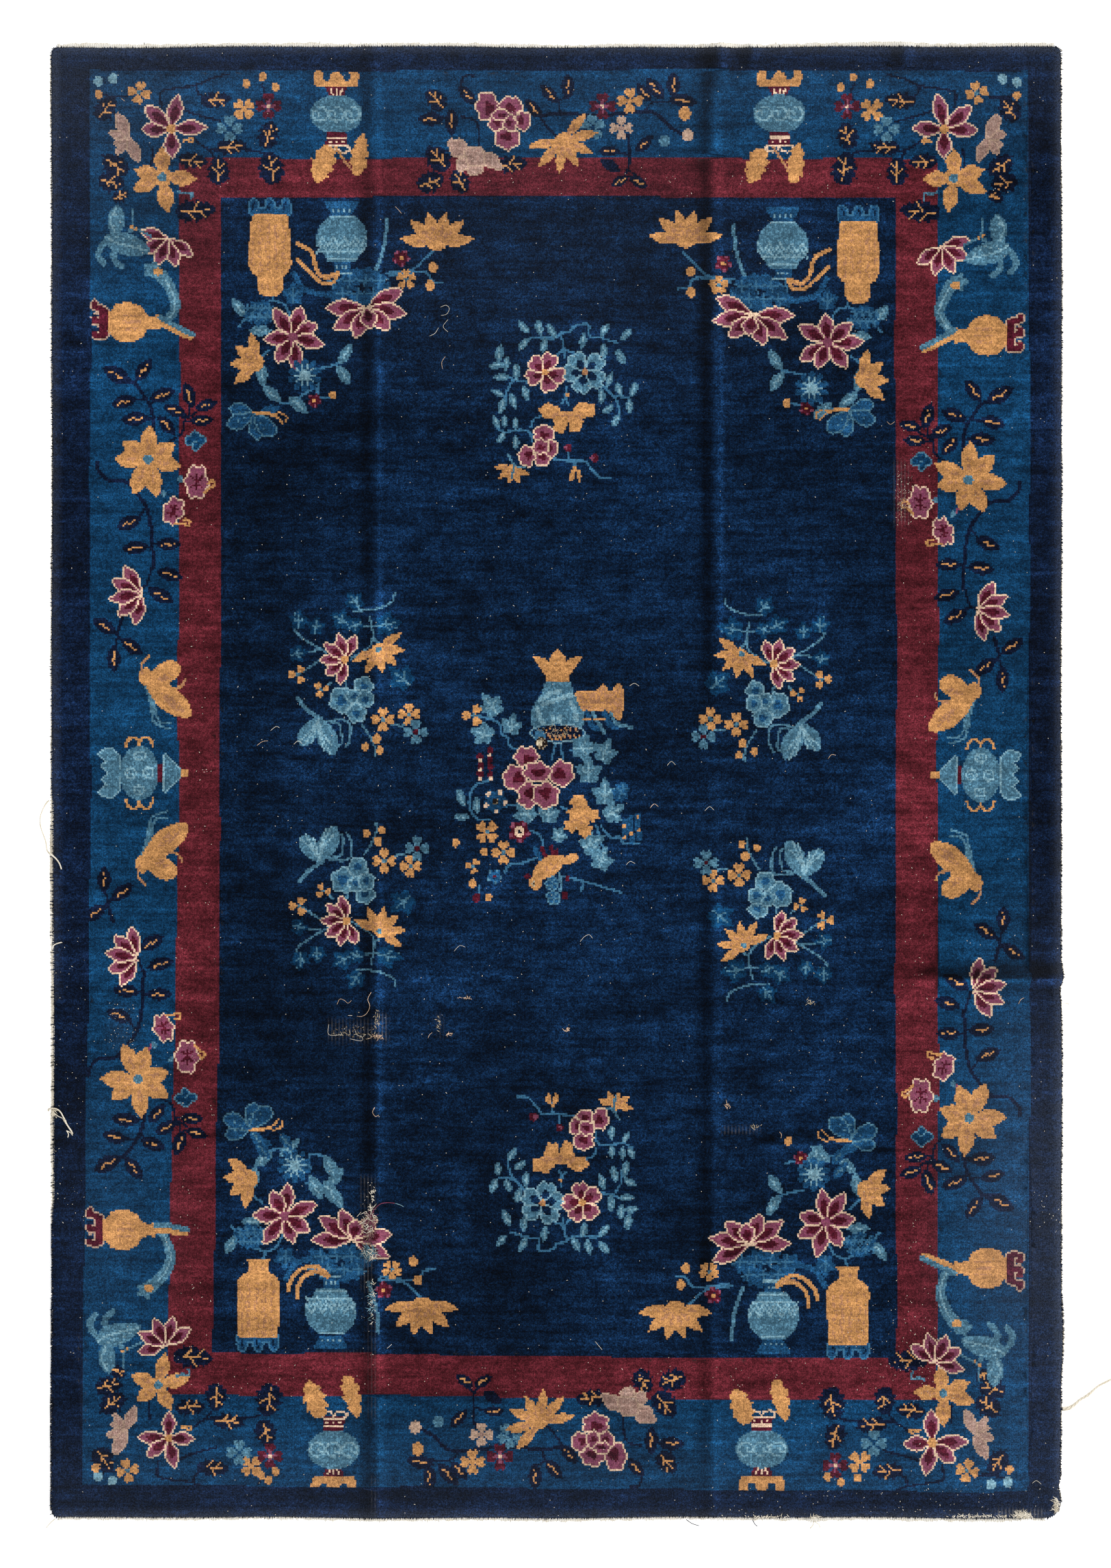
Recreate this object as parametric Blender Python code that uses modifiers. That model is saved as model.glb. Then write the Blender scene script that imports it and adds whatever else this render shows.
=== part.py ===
"""A hand-knotted wool rug, 1.83 m by 2.68 m, lying flat on a floor.

The pile and the cotton foundation under it are one slab.  It lies flat, but for
two long creases, a few humps at the top end, a short fold at the right side and
a wrinkle, where it lifts a few millimetres.  A cotton web finishes each end, a
binding cord runs down each long side, and three threads have worked loose.

Metres, +Z up, +X to the right and +Y to the top of the rug.
The origin is on the floor under the middle.
"""

import math
import random
from collections import namedtuple

import bmesh
import bpy

# Driving dimensions.
PILE_THICKNESS = 0.011     # pile and foundation together
PILE_RIGHT = 0.9118        # where the pile stops, from the middle
PILE_LEFT = -0.9142
PILE_TOP = 1.3289
PILE_BOTTOM = -1.3326
WEB_THICKNESS = 0.002
TOP_WEB_WIDTH = 0.0075
BOTTOM_WEB_WIDTH = 0.0050
CORD_RADIUS = 0.0016       # of the side bindings where they are whole
CORNER_RADIUS = 0.010
WORN_CORNER_RADIUS = 0.026  # bottom right
GAP = 0.0003               # between pieces that touch

# How the outline wanders.
SIDE_WAVE = 0.0024
END_WAVE = 0.0036
EDGE_DEPTH = 0.120         # how far in from the edge the wandering dies out
Wave = namedtuple("Wave", "share pace start")
SIDE_WAVES = [Wave(0.62, 4.7, 1.3), Wave(0.38, 12.9, -0.8)]
END_WAVES = [Wave(0.55, 6.1, 0.6), Wave(0.45, 17.3, 2.1)]
WEB_TOOTH = 0.0012         # raggedness of the webs
WEB_LEAST = 0.0012         # their width where they are worn away

# How finely the slab, the webs and the threads are divided.
COARSE_X = 0.085
COARSE_Y = 0.125
CLOSEST_LINES = 0.006
SPOT_SHARES = (-1.0, -0.5, 0.0, 0.5, 1.0)  # lines across a spot, in its reach
WEB_STEP = 0.012
THREAD_STEPS = 3           # between two points of a thread's route

# A stretch where a side leaves its line: its middle and half-length along the
# rug, the length over which it starts, how far in it draws, and how much
# thicker the binding is there.
SideStretch = namedtuple("SideStretch", "side middle reach shoulder inward thicker")
SIDE_STRETCHES = [
    SideStretch(-1, -0.400, 0.400, 0.060, 0.0036, 0.0018),   # worn left binding
    SideStretch(+1, -0.350, 0.026, 0.024, -0.0036, 0.0),     # bulge at the fold
    SideStretch(+1, -0.382, 0.024, 0.022, 0.0026, 0.0),      # dent below it
    SideStretch(+1, -1.005, 0.090, 0.080, -0.0024, 0.0005),  # slack before the loose cord
    SideStretch(+1, -1.276, 0.022, 0.020, 0.0026, -0.0006),  # nick near the corner
]

# A stretch where a web is wider or narrower: which end, its middle and
# half-width across the rug, and the change in its width.
WebStretch = namedtuple("WebStretch", "end middle reach wider")
WEB_STRETCHES = [
    WebStretch(+1, -0.835, 0.060, 0.0030),
    WebStretch(+1, -0.460, 0.050, 0.0020),
    WebStretch(+1, 0.030, 0.070, -0.0020),
    WebStretch(+1, 0.290, 0.050, 0.0025),
    WebStretch(+1, 0.600, 0.120, 0.0028),
    WebStretch(-1, -0.500, 0.160, -0.0012),
    WebStretch(-1, 0.010, 0.040, 0.0018),
    WebStretch(-1, 0.470, 0.035, 0.0030),
    WebStretch(-1, 0.640, 0.060, 0.0022),
    WebStretch(-1, 0.845, 0.022, -0.0034),
    WebStretch(-1, 0.800, 0.022, 0.0018),
]

# A ridge where the rug lifts: its line, its height, its half-width, and the
# length over which it runs out past each end.
Ridge = namedtuple("Ridge", "x0 y0 x1 y1 height reach run_out")
RIDGES = [
    Ridge(-0.326, -1.400, -0.328, -0.300, 0.0042, 0.030, 0.300),  # left crease
    Ridge(-0.328, 0.300, -0.332, 1.400, 0.0036, 0.030, 0.300),
    Ridge(0.286, 0.350, 0.282, 1.150, 0.0050, 0.032, 0.300),      # right crease
    Ridge(0.280, -1.400, 0.284, -0.250, 0.0034, 0.032, 0.300),
    Ridge(0.294, 1.310, 0.294, 1.400, 0.0090, 0.032, 0.080),      # humps, top end
    Ridge(0.352, 1.318, 0.352, 1.400, 0.0060, 0.026, 0.060),
    Ridge(0.628, 1.318, 0.628, 1.400, 0.0050, 0.030, 0.060),
    Ridge(0.700, -0.358, 0.950, -0.352, 0.0070, 0.020, 0.120),    # fold, right side
    Ridge(0.390, -0.655, 0.600, -0.642, 0.0028, 0.016, 0.060),    # wrinkle
]

# The loose threads: points of each route, and the radius at each point.
RoutePoint = namedtuple("RoutePoint", "x y z radius")
LOOSE_CORD_ROUTE = [
    RoutePoint(0.9141, -1.1350, 0.0040, 0.0040),
    RoutePoint(0.9210, -1.1350, 0.0039, 0.0039),
    RoutePoint(0.9290, -1.1325, 0.0036, 0.0036),
    RoutePoint(0.9370, -1.1270, 0.0030, 0.0030),
    RoutePoint(0.9450, -1.1195, 0.0027, 0.0026),
    RoutePoint(0.9535, -1.1145, 0.0028, 0.0027),
    RoutePoint(0.9600, -1.1105, 0.0031, 0.0030),   # a kink
    RoutePoint(0.9665, -1.1050, 0.0025, 0.0024),
    RoutePoint(0.9735, -1.0985, 0.0023, 0.0022),
    RoutePoint(0.9820, -1.0925, 0.0022, 0.0021),
    RoutePoint(0.9910, -1.0880, 0.0022, 0.0021),
    RoutePoint(1.0000, -1.0835, 0.0022, 0.0021),
    RoutePoint(1.0090, -1.0795, 0.0021, 0.0020),
    RoutePoint(1.0180, -1.0765, 0.0020, 0.0019),
    RoutePoint(1.0270, -1.0745, 0.0019, 0.0018),
    RoutePoint(1.0360, -1.0735, 0.0018, 0.0017),
]
LOOP_THREAD_ROUTE = [
    RoutePoint(-0.9200, -0.0350, 0.0017, 0.0013),
    RoutePoint(-0.9245, -0.0400, 0.0015, 0.0013),
    RoutePoint(-0.9300, -0.0500, 0.0015, 0.0013),
    RoutePoint(-0.9345, -0.0620, 0.0015, 0.0013),
    RoutePoint(-0.9355, -0.0750, 0.0015, 0.0013),
    RoutePoint(-0.9330, -0.0870, 0.0015, 0.0013),
    RoutePoint(-0.9290, -0.0980, 0.0015, 0.0013),
    RoutePoint(-0.9255, -0.1080, 0.0017, 0.0013),
    RoutePoint(-0.9240, -0.1180, 0.0034, 0.0013),
    RoutePoint(-0.9218, -0.1260, 0.0080, 0.0014),
    RoutePoint(-0.9160, -0.1315, 0.0122, 0.0018),  # a knot on the binding
    RoutePoint(-0.9100, -0.1360, 0.0131, 0.0014),
    RoutePoint(-0.9040, -0.1420, 0.0128, 0.0013),
    RoutePoint(-0.8990, -0.1500, 0.0127, 0.0013),
    RoutePoint(-0.8960, -0.1590, 0.0127, 0.0012),
]
KNOT_THREAD_ROUTE = [
    RoutePoint(-0.9202, -0.5960, 0.0040, 0.0015),
    RoutePoint(-0.9197, -0.5930, 0.0085, 0.0015),
    RoutePoint(-0.9150, -0.5915, 0.0122, 0.0014),
    RoutePoint(-0.9080, -0.5915, 0.0131, 0.0013),
    RoutePoint(-0.9015, -0.5940, 0.0128, 0.0013),
    RoutePoint(-0.8965, -0.5995, 0.0127, 0.0013),
    RoutePoint(-0.8925, -0.6070, 0.0128, 0.0014),
    RoutePoint(-0.8895, -0.6135, 0.0136, 0.0022),  # a knot in the thread
    RoutePoint(-0.8865, -0.6195, 0.0129, 0.0015),
    RoutePoint(-0.8820, -0.6265, 0.0128, 0.0014),
    RoutePoint(-0.8785, -0.6315, 0.0130, 0.0016),
    RoutePoint(-0.8760, -0.6370, 0.0130, 0.0016),
]


def fade(distance, reach):
    """One at no distance, falling smoothly to nothing at reach."""
    return math.cos(0.5 * math.pi * min(1.0, distance / reach)) ** 2


def plateau(distance, reach, shoulder):
    """One up to a shoulder's length short of reach, then falling to nothing."""
    return fade(max(0.0, distance - (reach - shoulder)), shoulder)


def lift(x, y):
    """Height of the rug's underside above the floor."""
    height = 0.0
    for ridge in RIDGES:
        run_x, run_y = ridge.x1 - ridge.x0, ridge.y1 - ridge.y0
        length = math.hypot(run_x, run_y)
        along = ((x - ridge.x0) * run_x + (y - ridge.y0) * run_y) / length
        across = abs((x - ridge.x0) * run_y - (y - ridge.y0) * run_x) / length
        beyond = max(0.0, -along, along - length)
        height += ridge.height * fade(across, ridge.reach) * fade(beyond, ridge.run_out)
    return height


def waver(waves, along, way):
    """A slow uneven wave between nought and one, another for each way, +1 and -1."""
    return 0.5 + 0.5 * sum(w.share * math.sin(w.pace * along + w.start * way) for w in waves)


def side_x(side, y):
    """Where the pile stops at the right (side +1) or the left (side -1)."""
    inward = SIDE_WAVE * waver(SIDE_WAVES, y, side)
    for stretch in SIDE_STRETCHES:
        if stretch.side == side:
            away = abs(y - stretch.middle)
            inward += stretch.inward * plateau(away, stretch.reach, stretch.shoulder)
    return (PILE_RIGHT if side > 0 else PILE_LEFT) - side * inward


def end_y(end, x):
    """Where the pile stops at the top (end +1) or the bottom (end -1)."""
    inward = END_WAVE * waver(END_WAVES, x, end)
    return (PILE_TOP if end > 0 else PILE_BOTTOM) - end * inward


def corner_radius(side, end):
    return WORN_CORNER_RADIUS if side > 0 and end < 0 else CORNER_RADIUS


def round_corner(x, y):
    """Moves a point of the square slab so that the slab's corners are round."""
    side = 1 if x > 0 else -1
    end = 1 if y > 0 else -1
    radius = corner_radius(side, end)
    centre_x = (PILE_RIGHT if side > 0 else PILE_LEFT) - side * radius
    centre_y = (PILE_TOP if end > 0 else PILE_BOTTOM) - end * radius
    a = side * (x - centre_x) / radius
    b = end * (y - centre_y) / radius
    if a <= 0 or b <= 0:
        return x, y
    round_a = a * math.sqrt(1 - b * b / 2)
    round_b = b * math.sqrt(1 - a * a / 2)
    return centre_x + side * round_a * radius, centre_y + end * round_b * radius


def place(x, y):
    """Moves a point of the straight slab to the rug's wandering outline."""
    x, y = round_corner(x, y)
    side = 1 if x > 0 else -1
    end = 1 if y > 0 else -1
    half_width = PILE_RIGHT if side > 0 else -PILE_LEFT
    half_length = PILE_TOP if end > 0 else -PILE_BOTTOM
    near_side = fade(half_width - abs(x), EDGE_DEPTH)
    near_end = fade(half_length - abs(y), EDGE_DEPTH)
    moved_x = x + near_side * (side_x(side, y) - side * half_width)
    moved_y = y + near_end * (end_y(end, x) - end * half_length)
    return moved_x, moved_y


def grid_lines(low, high, coarse, spots):
    """Even lines from low to high, with closer ones across each spot's reach."""
    count = math.ceil((high - low) / coarse)
    even = [low + (high - low) * i / count for i in range(1, count)]
    close = {middle + share * reach for middle, reach in spots for share in SPOT_SHARES}
    kept = [low, high]
    for value in sorted(close):
        if low < value < high and all(abs(value - k) > CLOSEST_LINES for k in kept):
            kept.append(value)
    kept += [v for v in even if all(abs(v - c) > coarse / 3 for c in close)]
    return sorted(kept)


def corner_spots(low, high):
    """Lines that a rounded corner needs near both ends of a row of lines."""
    reach = WORN_CORNER_RADIUS / 2
    return [(low + reach, reach), (high - reach, reach)]


def wool(name, colour, roughness):
    """A plain matte yarn material."""
    material = bpy.data.materials.new(name)
    material.use_nodes = True
    shader = material.node_tree.nodes["Principled BSDF"]
    shader.inputs["Base Color"].default_value = (*colour, 1.0)
    shader.inputs["Roughness"].default_value = roughness
    shader.inputs["Metallic"].default_value = 0.0
    return material


def add_piece(name, data, material, collection):
    piece = bpy.data.objects.new(name, data)
    piece.data.materials.append(material)
    collection.objects.link(piece)
    return piece


def thicken(piece, thickness):
    """Turns an open sheet into a slab that stands on it."""
    solidify = piece.modifiers.new("thickness", "SOLIDIFY")
    solidify.thickness = thickness
    solidify.offset = 1.0


def sheet_mesh(name, rows):
    """An upward-facing sheet through equal rows of points."""
    mesh = bmesh.new()
    verts = [[mesh.verts.new(point) for point in row] for row in rows]
    for low, high in zip(verts, verts[1:]):
        for i in range(len(low) - 1):
            mesh.faces.new((low[i], low[i + 1], high[i + 1], high[i]))
    data = bpy.data.meshes.new(name)
    mesh.to_mesh(data)
    mesh.free()
    return data


def slab_rows():
    """Rows of points over the slab's underside, from the bottom end to the top."""
    upright = [r for r in RIDGES if abs(r.x1 - r.x0) < abs(r.y1 - r.y0)]
    level = [r for r in RIDGES if r not in upright]
    x_spots = [((r.x0 + r.x1) / 2, r.reach) for r in upright]
    y_spots = [((r.y0 + r.y1) / 2, r.reach) for r in level]
    y_spots += [(s.middle, s.reach) for s in SIDE_STRETCHES if s.reach < COARSE_Y]
    x_lines = grid_lines(PILE_LEFT, PILE_RIGHT, COARSE_X,
                         x_spots + corner_spots(PILE_LEFT, PILE_RIGHT))
    y_lines = grid_lines(PILE_BOTTOM, PILE_TOP, COARSE_Y,
                         y_spots + corner_spots(PILE_BOTTOM, PILE_TOP))
    rows = []
    for y in y_lines:
        placed = [place(x, y) for x in x_lines]
        rows.append([(px, py, lift(px, py)) for px, py in placed])
    return rows


def make_rug_body(rows, collection):
    """The knotted slab, cut to the outline and lifted at its creases."""
    material = wool("navy wool pile", (0.010, 0.022, 0.060), 0.95)
    body = add_piece("rug_body", sheet_mesh("rug_body", rows), material, collection)
    thicken(body, PILE_THICKNESS)


def along_edge(edge, x):
    """The point of the slab's end edge, a chain of points from left to right, at x."""
    for first, second in zip(edge, edge[1:]):
        if x <= second[0]:
            break
    share = (x - first[0]) / (second[0] - first[0])
    return [a + share * (b - a) for a, b in zip(first, second)]


def make_web(name, end, edge, width, seed, collection):
    """The flat cotton web past the pile at one end, ragged along its outside."""
    ragged = random.Random(seed)
    left = PILE_LEFT + corner_radius(-1, end)
    right = PILE_RIGHT - corner_radius(+1, end)
    count = round((right - left) / WEB_STEP)
    inner, outer = [], []
    for i in range(count + 1):
        here = width + ragged.uniform(-WEB_TOOTH, WEB_TOOTH)
        x, y, z = along_edge(edge, left + (right - left) * i / count)
        for stretch in WEB_STRETCHES:
            if stretch.end == end:
                here += stretch.wider * fade(abs(x - stretch.middle), stretch.reach)
        y += end * GAP
        inner.append((x, y, z))
        outer.append((x, y + end * max(here, WEB_LEAST), z))
    rows = [inner, outer] if end > 0 else [outer, inner]
    material = wool("undyed cotton web", (0.74, 0.68, 0.56), 0.9)
    web = add_piece(name, sheet_mesh(name, rows), material, collection)
    thicken(web, WEB_THICKNESS)


def make_tube(name, points, radii, material, collection, resolution):
    """A round cord through the points, with filled ends."""
    curve = bpy.data.curves.new(name, "CURVE")
    curve.dimensions = "3D"
    curve.bevel_depth = 1.0
    curve.bevel_resolution = resolution
    curve.use_fill_caps = True
    spline = curve.splines.new("POLY")
    spline.points.add(len(points) - 1)
    for target, point, radius in zip(spline.points, points, radii):
        target.co = (*point, 1.0)
        target.radius = radius
    add_piece(name, curve, material, collection)


def make_binding(name, side, edge, material, collection):
    """The cord bound along one long side, lying on the floor against the pile."""
    low = PILE_BOTTOM + corner_radius(side, -1)
    high = PILE_TOP - corner_radius(side, +1)
    points, radii = [], []
    for x, y, z in edge:
        if low <= y <= high:
            radius = CORD_RADIUS
            for stretch in SIDE_STRETCHES:
                if stretch.side == side:
                    away = abs(y - stretch.middle)
                    radius += stretch.thicker * plateau(away, stretch.reach, stretch.shoulder)
            points.append((x + side * (radius + GAP), y, z + radius))
            radii.append(radius)
    make_tube(name, points, radii, material, collection, 2)


def smooth_route(route):
    """Points along a smooth curve through a route, and the radius at each."""
    points, radii = [], []
    for i in range(len(route) - 1):
        before, start = route[max(i - 1, 0)], route[i]
        stop, after = route[i + 1], route[min(i + 2, len(route) - 1)]
        for step in range(THREAD_STEPS):
            t = step / THREAD_STEPS
            weights = (-0.5 * t + t * t - 0.5 * t ** 3,
                       1 - 2.5 * t * t + 1.5 * t ** 3,
                       0.5 * t + 2 * t * t - 1.5 * t ** 3,
                       -0.5 * t * t + 0.5 * t ** 3)
            near = (before, start, stop, after)
            mixed = [sum(w * p[k] for w, p in zip(weights, near)) for k in range(4)]
            points.append(mixed[:3])
            radii.append(mixed[3])
    points.append(route[-1][:3])
    radii.append(route[-1].radius)
    return points, radii


def make_thread(name, route, material, collection):
    points, radii = smooth_route(route)
    make_tube(name, points, radii, material, collection, 2)


def build():
    for old in list(bpy.data.objects):
        bpy.data.objects.remove(old)
    collection = bpy.data.collections.new("knotted rug")
    bpy.context.scene.collection.children.link(collection)
    cotton = wool("undyed cotton cord", (0.72, 0.66, 0.55), 0.9)
    rows = slab_rows()
    left_edge = [row[0] for row in rows]
    right_edge = [row[-1] for row in rows]
    make_rug_body(rows, collection)
    make_web("end_web_top", +1, rows[-1], TOP_WEB_WIDTH, 5, collection)
    make_web("end_web_bottom", -1, rows[0], BOTTOM_WEB_WIDTH, 8, collection)
    make_binding("binding_left", -1, left_edge, cotton, collection)
    make_binding("binding_right", +1, right_edge, cotton, collection)
    make_thread("loose_cord", LOOSE_CORD_ROUTE, cotton, collection)
    make_thread("loop_thread", LOOP_THREAD_ROUTE, cotton, collection)
    make_thread("knot_thread", KNOT_THREAD_ROUTE, cotton, collection)


build()
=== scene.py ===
"""A hand-knotted Chinese wool rug, 1.83 m by 2.68 m, seen from straight above.

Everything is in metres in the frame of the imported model: +X to the right of the
rug, +Y to its top end, +Z up, the origin on the floor under its middle.
"""

import math
from collections import namedtuple

import bmesh
import bpy
import numpy as np
from mathutils import Matrix, Vector, geometry


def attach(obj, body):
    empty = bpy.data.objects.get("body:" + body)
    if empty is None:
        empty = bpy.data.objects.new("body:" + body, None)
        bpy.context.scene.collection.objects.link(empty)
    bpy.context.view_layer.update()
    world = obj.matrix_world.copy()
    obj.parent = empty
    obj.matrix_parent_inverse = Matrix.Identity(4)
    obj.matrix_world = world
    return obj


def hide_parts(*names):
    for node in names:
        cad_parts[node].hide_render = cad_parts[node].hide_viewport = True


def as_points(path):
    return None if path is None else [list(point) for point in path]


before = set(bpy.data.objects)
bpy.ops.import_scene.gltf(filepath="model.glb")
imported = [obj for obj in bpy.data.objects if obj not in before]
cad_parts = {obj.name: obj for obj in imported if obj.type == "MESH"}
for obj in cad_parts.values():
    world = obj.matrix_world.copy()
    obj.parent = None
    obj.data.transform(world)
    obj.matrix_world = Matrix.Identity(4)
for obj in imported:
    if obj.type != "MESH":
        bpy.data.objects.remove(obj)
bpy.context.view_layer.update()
scene = bpy.context.scene

# ---------------------------------------------------------------- camera, floor and light
# The rug lies on a white studio floor and is photographed from straight above with a
# long lens.  Soft light fills the room, and a wide lamp stands off to the right, so
# that folds are dark on their left and bright on their right; painted shade and
# highlight in the wool along each fold add to it.
PICTURE = (1624, 2292)            # width and height in pixels
PIXEL_MM = 1.238                  # millimetres of rug in one pixel
PIXEL = PIXEL_MM / 1000
MIDDLE_PX = (814.5, 1142.0)       # where the rug's middle is in the picture
CAMERA_HEIGHT, SENSOR_MM = 9.0, 24.0
FLOOR_REACH, FLOOR_GAP = 9.0, 0.0004
FLOOR_GLOW = 0.5                  # lit from below, so that shadows burn out
ROOM_LIGHT, LAMP_LIGHT = 0.64, 1.95
LAMP_WIDTH, LAMP_TILT, LAMP_TURN = (math.radians(angle) for angle in (14, 52, 8))


def linear(code):
    """An sRGB colour code as linear red, green, blue and one."""
    parts = [int(code[i:i + 2], 16) / 255 for i in (1, 3, 5)]
    return (*[c / 12.92 if c <= 0.04045 else ((c + 0.055) / 1.055) ** 2.4 for c in parts], 1.0)


def node(tree, kind, settings=None, **inputs):
    """Adds a node with its settings; each input is a value or a socket to link."""
    made = tree.nodes.new(kind)
    for name, setting in (settings or {}).items():
        setattr(made, name, setting)
    for name, given in inputs.items():
        socket = made.inputs[int(name[1:])] if name[0] == "_" else made.inputs[name.replace("_", " ")]
        if isinstance(given, bpy.types.NodeSocket):
            tree.links.new(given, socket)
        else:
            socket.default_value = given
    return made


def mixed(tree, share, low, high):
    """Two colours mixed: the first at a share of nought, the second at one."""
    return node(tree, "ShaderNodeMix", {"data_type": "RGBA"}, _0=share, _6=low, _7=high).outputs[2]


def spread(tree, given, low, high, to_low=0.0, to_high=1.0):
    """A value between low and high, spread over another range and kept in it."""
    return node(tree, "ShaderNodeMapRange", _0=given, _1=low, _2=high, _3=to_low, _4=to_high).outputs[0]


def new_material(name, **inputs):
    """A material with its shader's plain inputs set; gives it, its nodes and its shader."""
    made = bpy.data.materials.new(name)
    made.use_nodes = True
    shader = made.node_tree.nodes["Principled BSDF"]
    for title, given in inputs.items():
        shader.inputs[title.replace("_", " ")].default_value = given
    return made, made.node_tree, shader


def put(name, data):
    """Puts a mesh, a lamp or a lens into the scene."""
    made = bpy.data.objects.new(name, data)
    scene.collection.objects.link(made)
    return made


lens = bpy.data.cameras.new("overhead_camera")
lens.sensor_fit = "VERTICAL"
lens.sensor_height = SENSOR_MM
lens.lens = SENSOR_MM * CAMERA_HEIGHT / (PICTURE[1] * PIXEL)
lens.clip_end = 60.0
scene.camera = put("overhead_camera", lens)
scene.camera.location = ((PICTURE[0] / 2 - MIDDLE_PX[0]) * PIXEL, (MIDDLE_PX[1] - PICTURE[1] / 2) * PIXEL,
                         CAMERA_HEIGHT)
scene.view_settings.view_transform = "Standard"

# Painted studio floor: smooth matte white, with the faintest mottling of the roller.
floor_paint, tree, shader = new_material(
    "matte_white_floor_paint", Roughness=0.9, Specular_IOR_Level=0.1,
    Emission_Color=linear("#ffffff"), Emission_Strength=FLOOR_GLOW)
spot = node(tree, "ShaderNodeTexCoord").outputs["Object"]
mottle = node(tree, "ShaderNodeTexNoise", Vector=spot, Scale=3.0, Detail=3.0).outputs[0]
tree.links.new(mixed(tree, mottle, linear("#fdfdfd"), linear("#ffffff")), shader.inputs["Base Color"])
bm = bmesh.new()
bmesh.ops.create_grid(bm, x_segments=6, y_segments=6, size=FLOOR_REACH)
floor_mesh = bpy.data.meshes.new("studio_floor")
bm.to_mesh(floor_mesh)
bm.free()
floor_mesh.transform(Matrix.Translation((0, 0, -FLOOR_GAP)))
floor_mesh.materials.append(floor_paint)
floor = put("studio_floor", floor_mesh)

world = bpy.data.worlds.new("soft_room")
world.use_nodes = True
world.node_tree.nodes["Background"].inputs["Color"].default_value = linear("#ffffff")
world.node_tree.nodes["Background"].inputs["Strength"].default_value = ROOM_LIGHT
scene.world = world
lamp = bpy.data.lights.new("wide_lamp", "SUN")
lamp.energy, lamp.angle = LAMP_LIGHT, LAMP_WIDTH
put("wide_lamp", lamp).rotation_euler = (0, LAMP_TILT, LAMP_TURN)

# ---------------------------------------------------------------- loose threads
# Undyed cotton side cord that has worked loose: one end of the cord itself at the
# right, and two lighter binding threads at the left, one with a knot in it.  Each is
# plied from three strands.
STRANDS = 3                     # plied together
LAY = 4.2                       # length of one turn of the ply, in cord diameters
STRAND_SHARE = 0.58             # a strand's radius as a share of the cord's


def table(text):
    """A written table as rows with named columns: its first line names them, and a #
    starts a remark.  What isn't a number stays a word."""
    head, *lines = [line.split("#")[0].split() for line in text.strip().splitlines()]
    row = namedtuple("Row", head)
    return [row(*[int(word) if word.isdigit() else word if word[0].isalpha() else float(word)
                  for word in line]) for line in lines]


LOOSE_CORD_ROUTE = table("""
     x       y      z radius
0.9141 -1.1350 0.0040 0.0040
0.9210 -1.1350 0.0039 0.0039
0.9290 -1.1325 0.0036 0.0036
0.9370 -1.1270 0.0030 0.0030
0.9450 -1.1195 0.0027 0.0026
0.9535 -1.1145 0.0028 0.0027
0.9600 -1.1105 0.0031 0.0030   # a kink
0.9665 -1.1050 0.0025 0.0024
0.9735 -1.0985 0.0023 0.0022
0.9820 -1.0925 0.0022 0.0021
0.9910 -1.0880 0.0022 0.0021
1.0000 -1.0835 0.0022 0.0021
1.0090 -1.0795 0.0021 0.0020
1.0180 -1.0765 0.0020 0.0019
1.0270 -1.0745 0.0019 0.0018
1.0360 -1.0735 0.0018 0.0017
""")
LOOP_THREAD_ROUTE = table("""
      x       y      z radius
-0.9200 -0.0350 0.0017 0.0013
-0.9245 -0.0400 0.0015 0.0013
-0.9300 -0.0500 0.0015 0.0013
-0.9345 -0.0620 0.0015 0.0013
-0.9355 -0.0750 0.0015 0.0013
-0.9330 -0.0870 0.0015 0.0013
-0.9290 -0.0980 0.0015 0.0013
-0.9255 -0.1080 0.0017 0.0013
-0.9240 -0.1180 0.0034 0.0013
-0.9218 -0.1260 0.0080 0.0014
-0.9160 -0.1315 0.0122 0.0018   # a knot on the binding
-0.9100 -0.1360 0.0131 0.0014
-0.9040 -0.1420 0.0128 0.0013
-0.8990 -0.1500 0.0127 0.0013
-0.8960 -0.1590 0.0127 0.0012
""")
KNOT_THREAD_ROUTE = table("""
      x       y      z radius
-0.9202 -0.5960 0.0040 0.0015
-0.9197 -0.5930 0.0085 0.0015
-0.9150 -0.5915 0.0122 0.0014
-0.9080 -0.5915 0.0131 0.0013
-0.9015 -0.5940 0.0128 0.0013
-0.8965 -0.5995 0.0127 0.0013
-0.8925 -0.6070 0.0128 0.0014
-0.8895 -0.6135 0.0136 0.0022   # a knot in the thread
-0.8865 -0.6195 0.0129 0.0015
-0.8820 -0.6265 0.0128 0.0014
-0.8785 -0.6315 0.0130 0.0016
-0.8760 -0.6370 0.0130 0.0016
""")


def cotton(name, code, shade_code):
    """Undyed plied cotton: soft ivory, with faint stains and painted grey shade in its fine furrows, where
    the bump is low.
    """
    made, tree, shader = new_material(name, Roughness=0.92, Specular_IOR_Level=0.2, Sheen_Weight=0.2)
    spot = node(tree, "ShaderNodeTexCoord").outputs["Object"]
    fibre = node(tree, "ShaderNodeTexNoise", Vector=spot, Scale=1400.0, Detail=3.0).outputs[0]
    stain = node(tree, "ShaderNodeTexNoise", Vector=spot, Scale=60.0, Detail=2.0).outputs[0]
    both = node(tree, "ShaderNodeMath", {"operation": "MULTIPLY_ADD"}, _0=fibre, _1=0.6, _2=stain).outputs[0]
    tone = mixed(tree, spread(tree, both, 0.55, 1.05), linear(shade_code), linear(code))
    tree.links.new(tone, shader.inputs["Base Color"])
    bump = node(tree, "ShaderNodeBump", Height=fibre, Strength=0.6, Distance=0.0003).outputs[0]
    tree.links.new(bump, shader.inputs["Normal"])
    return made


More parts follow.
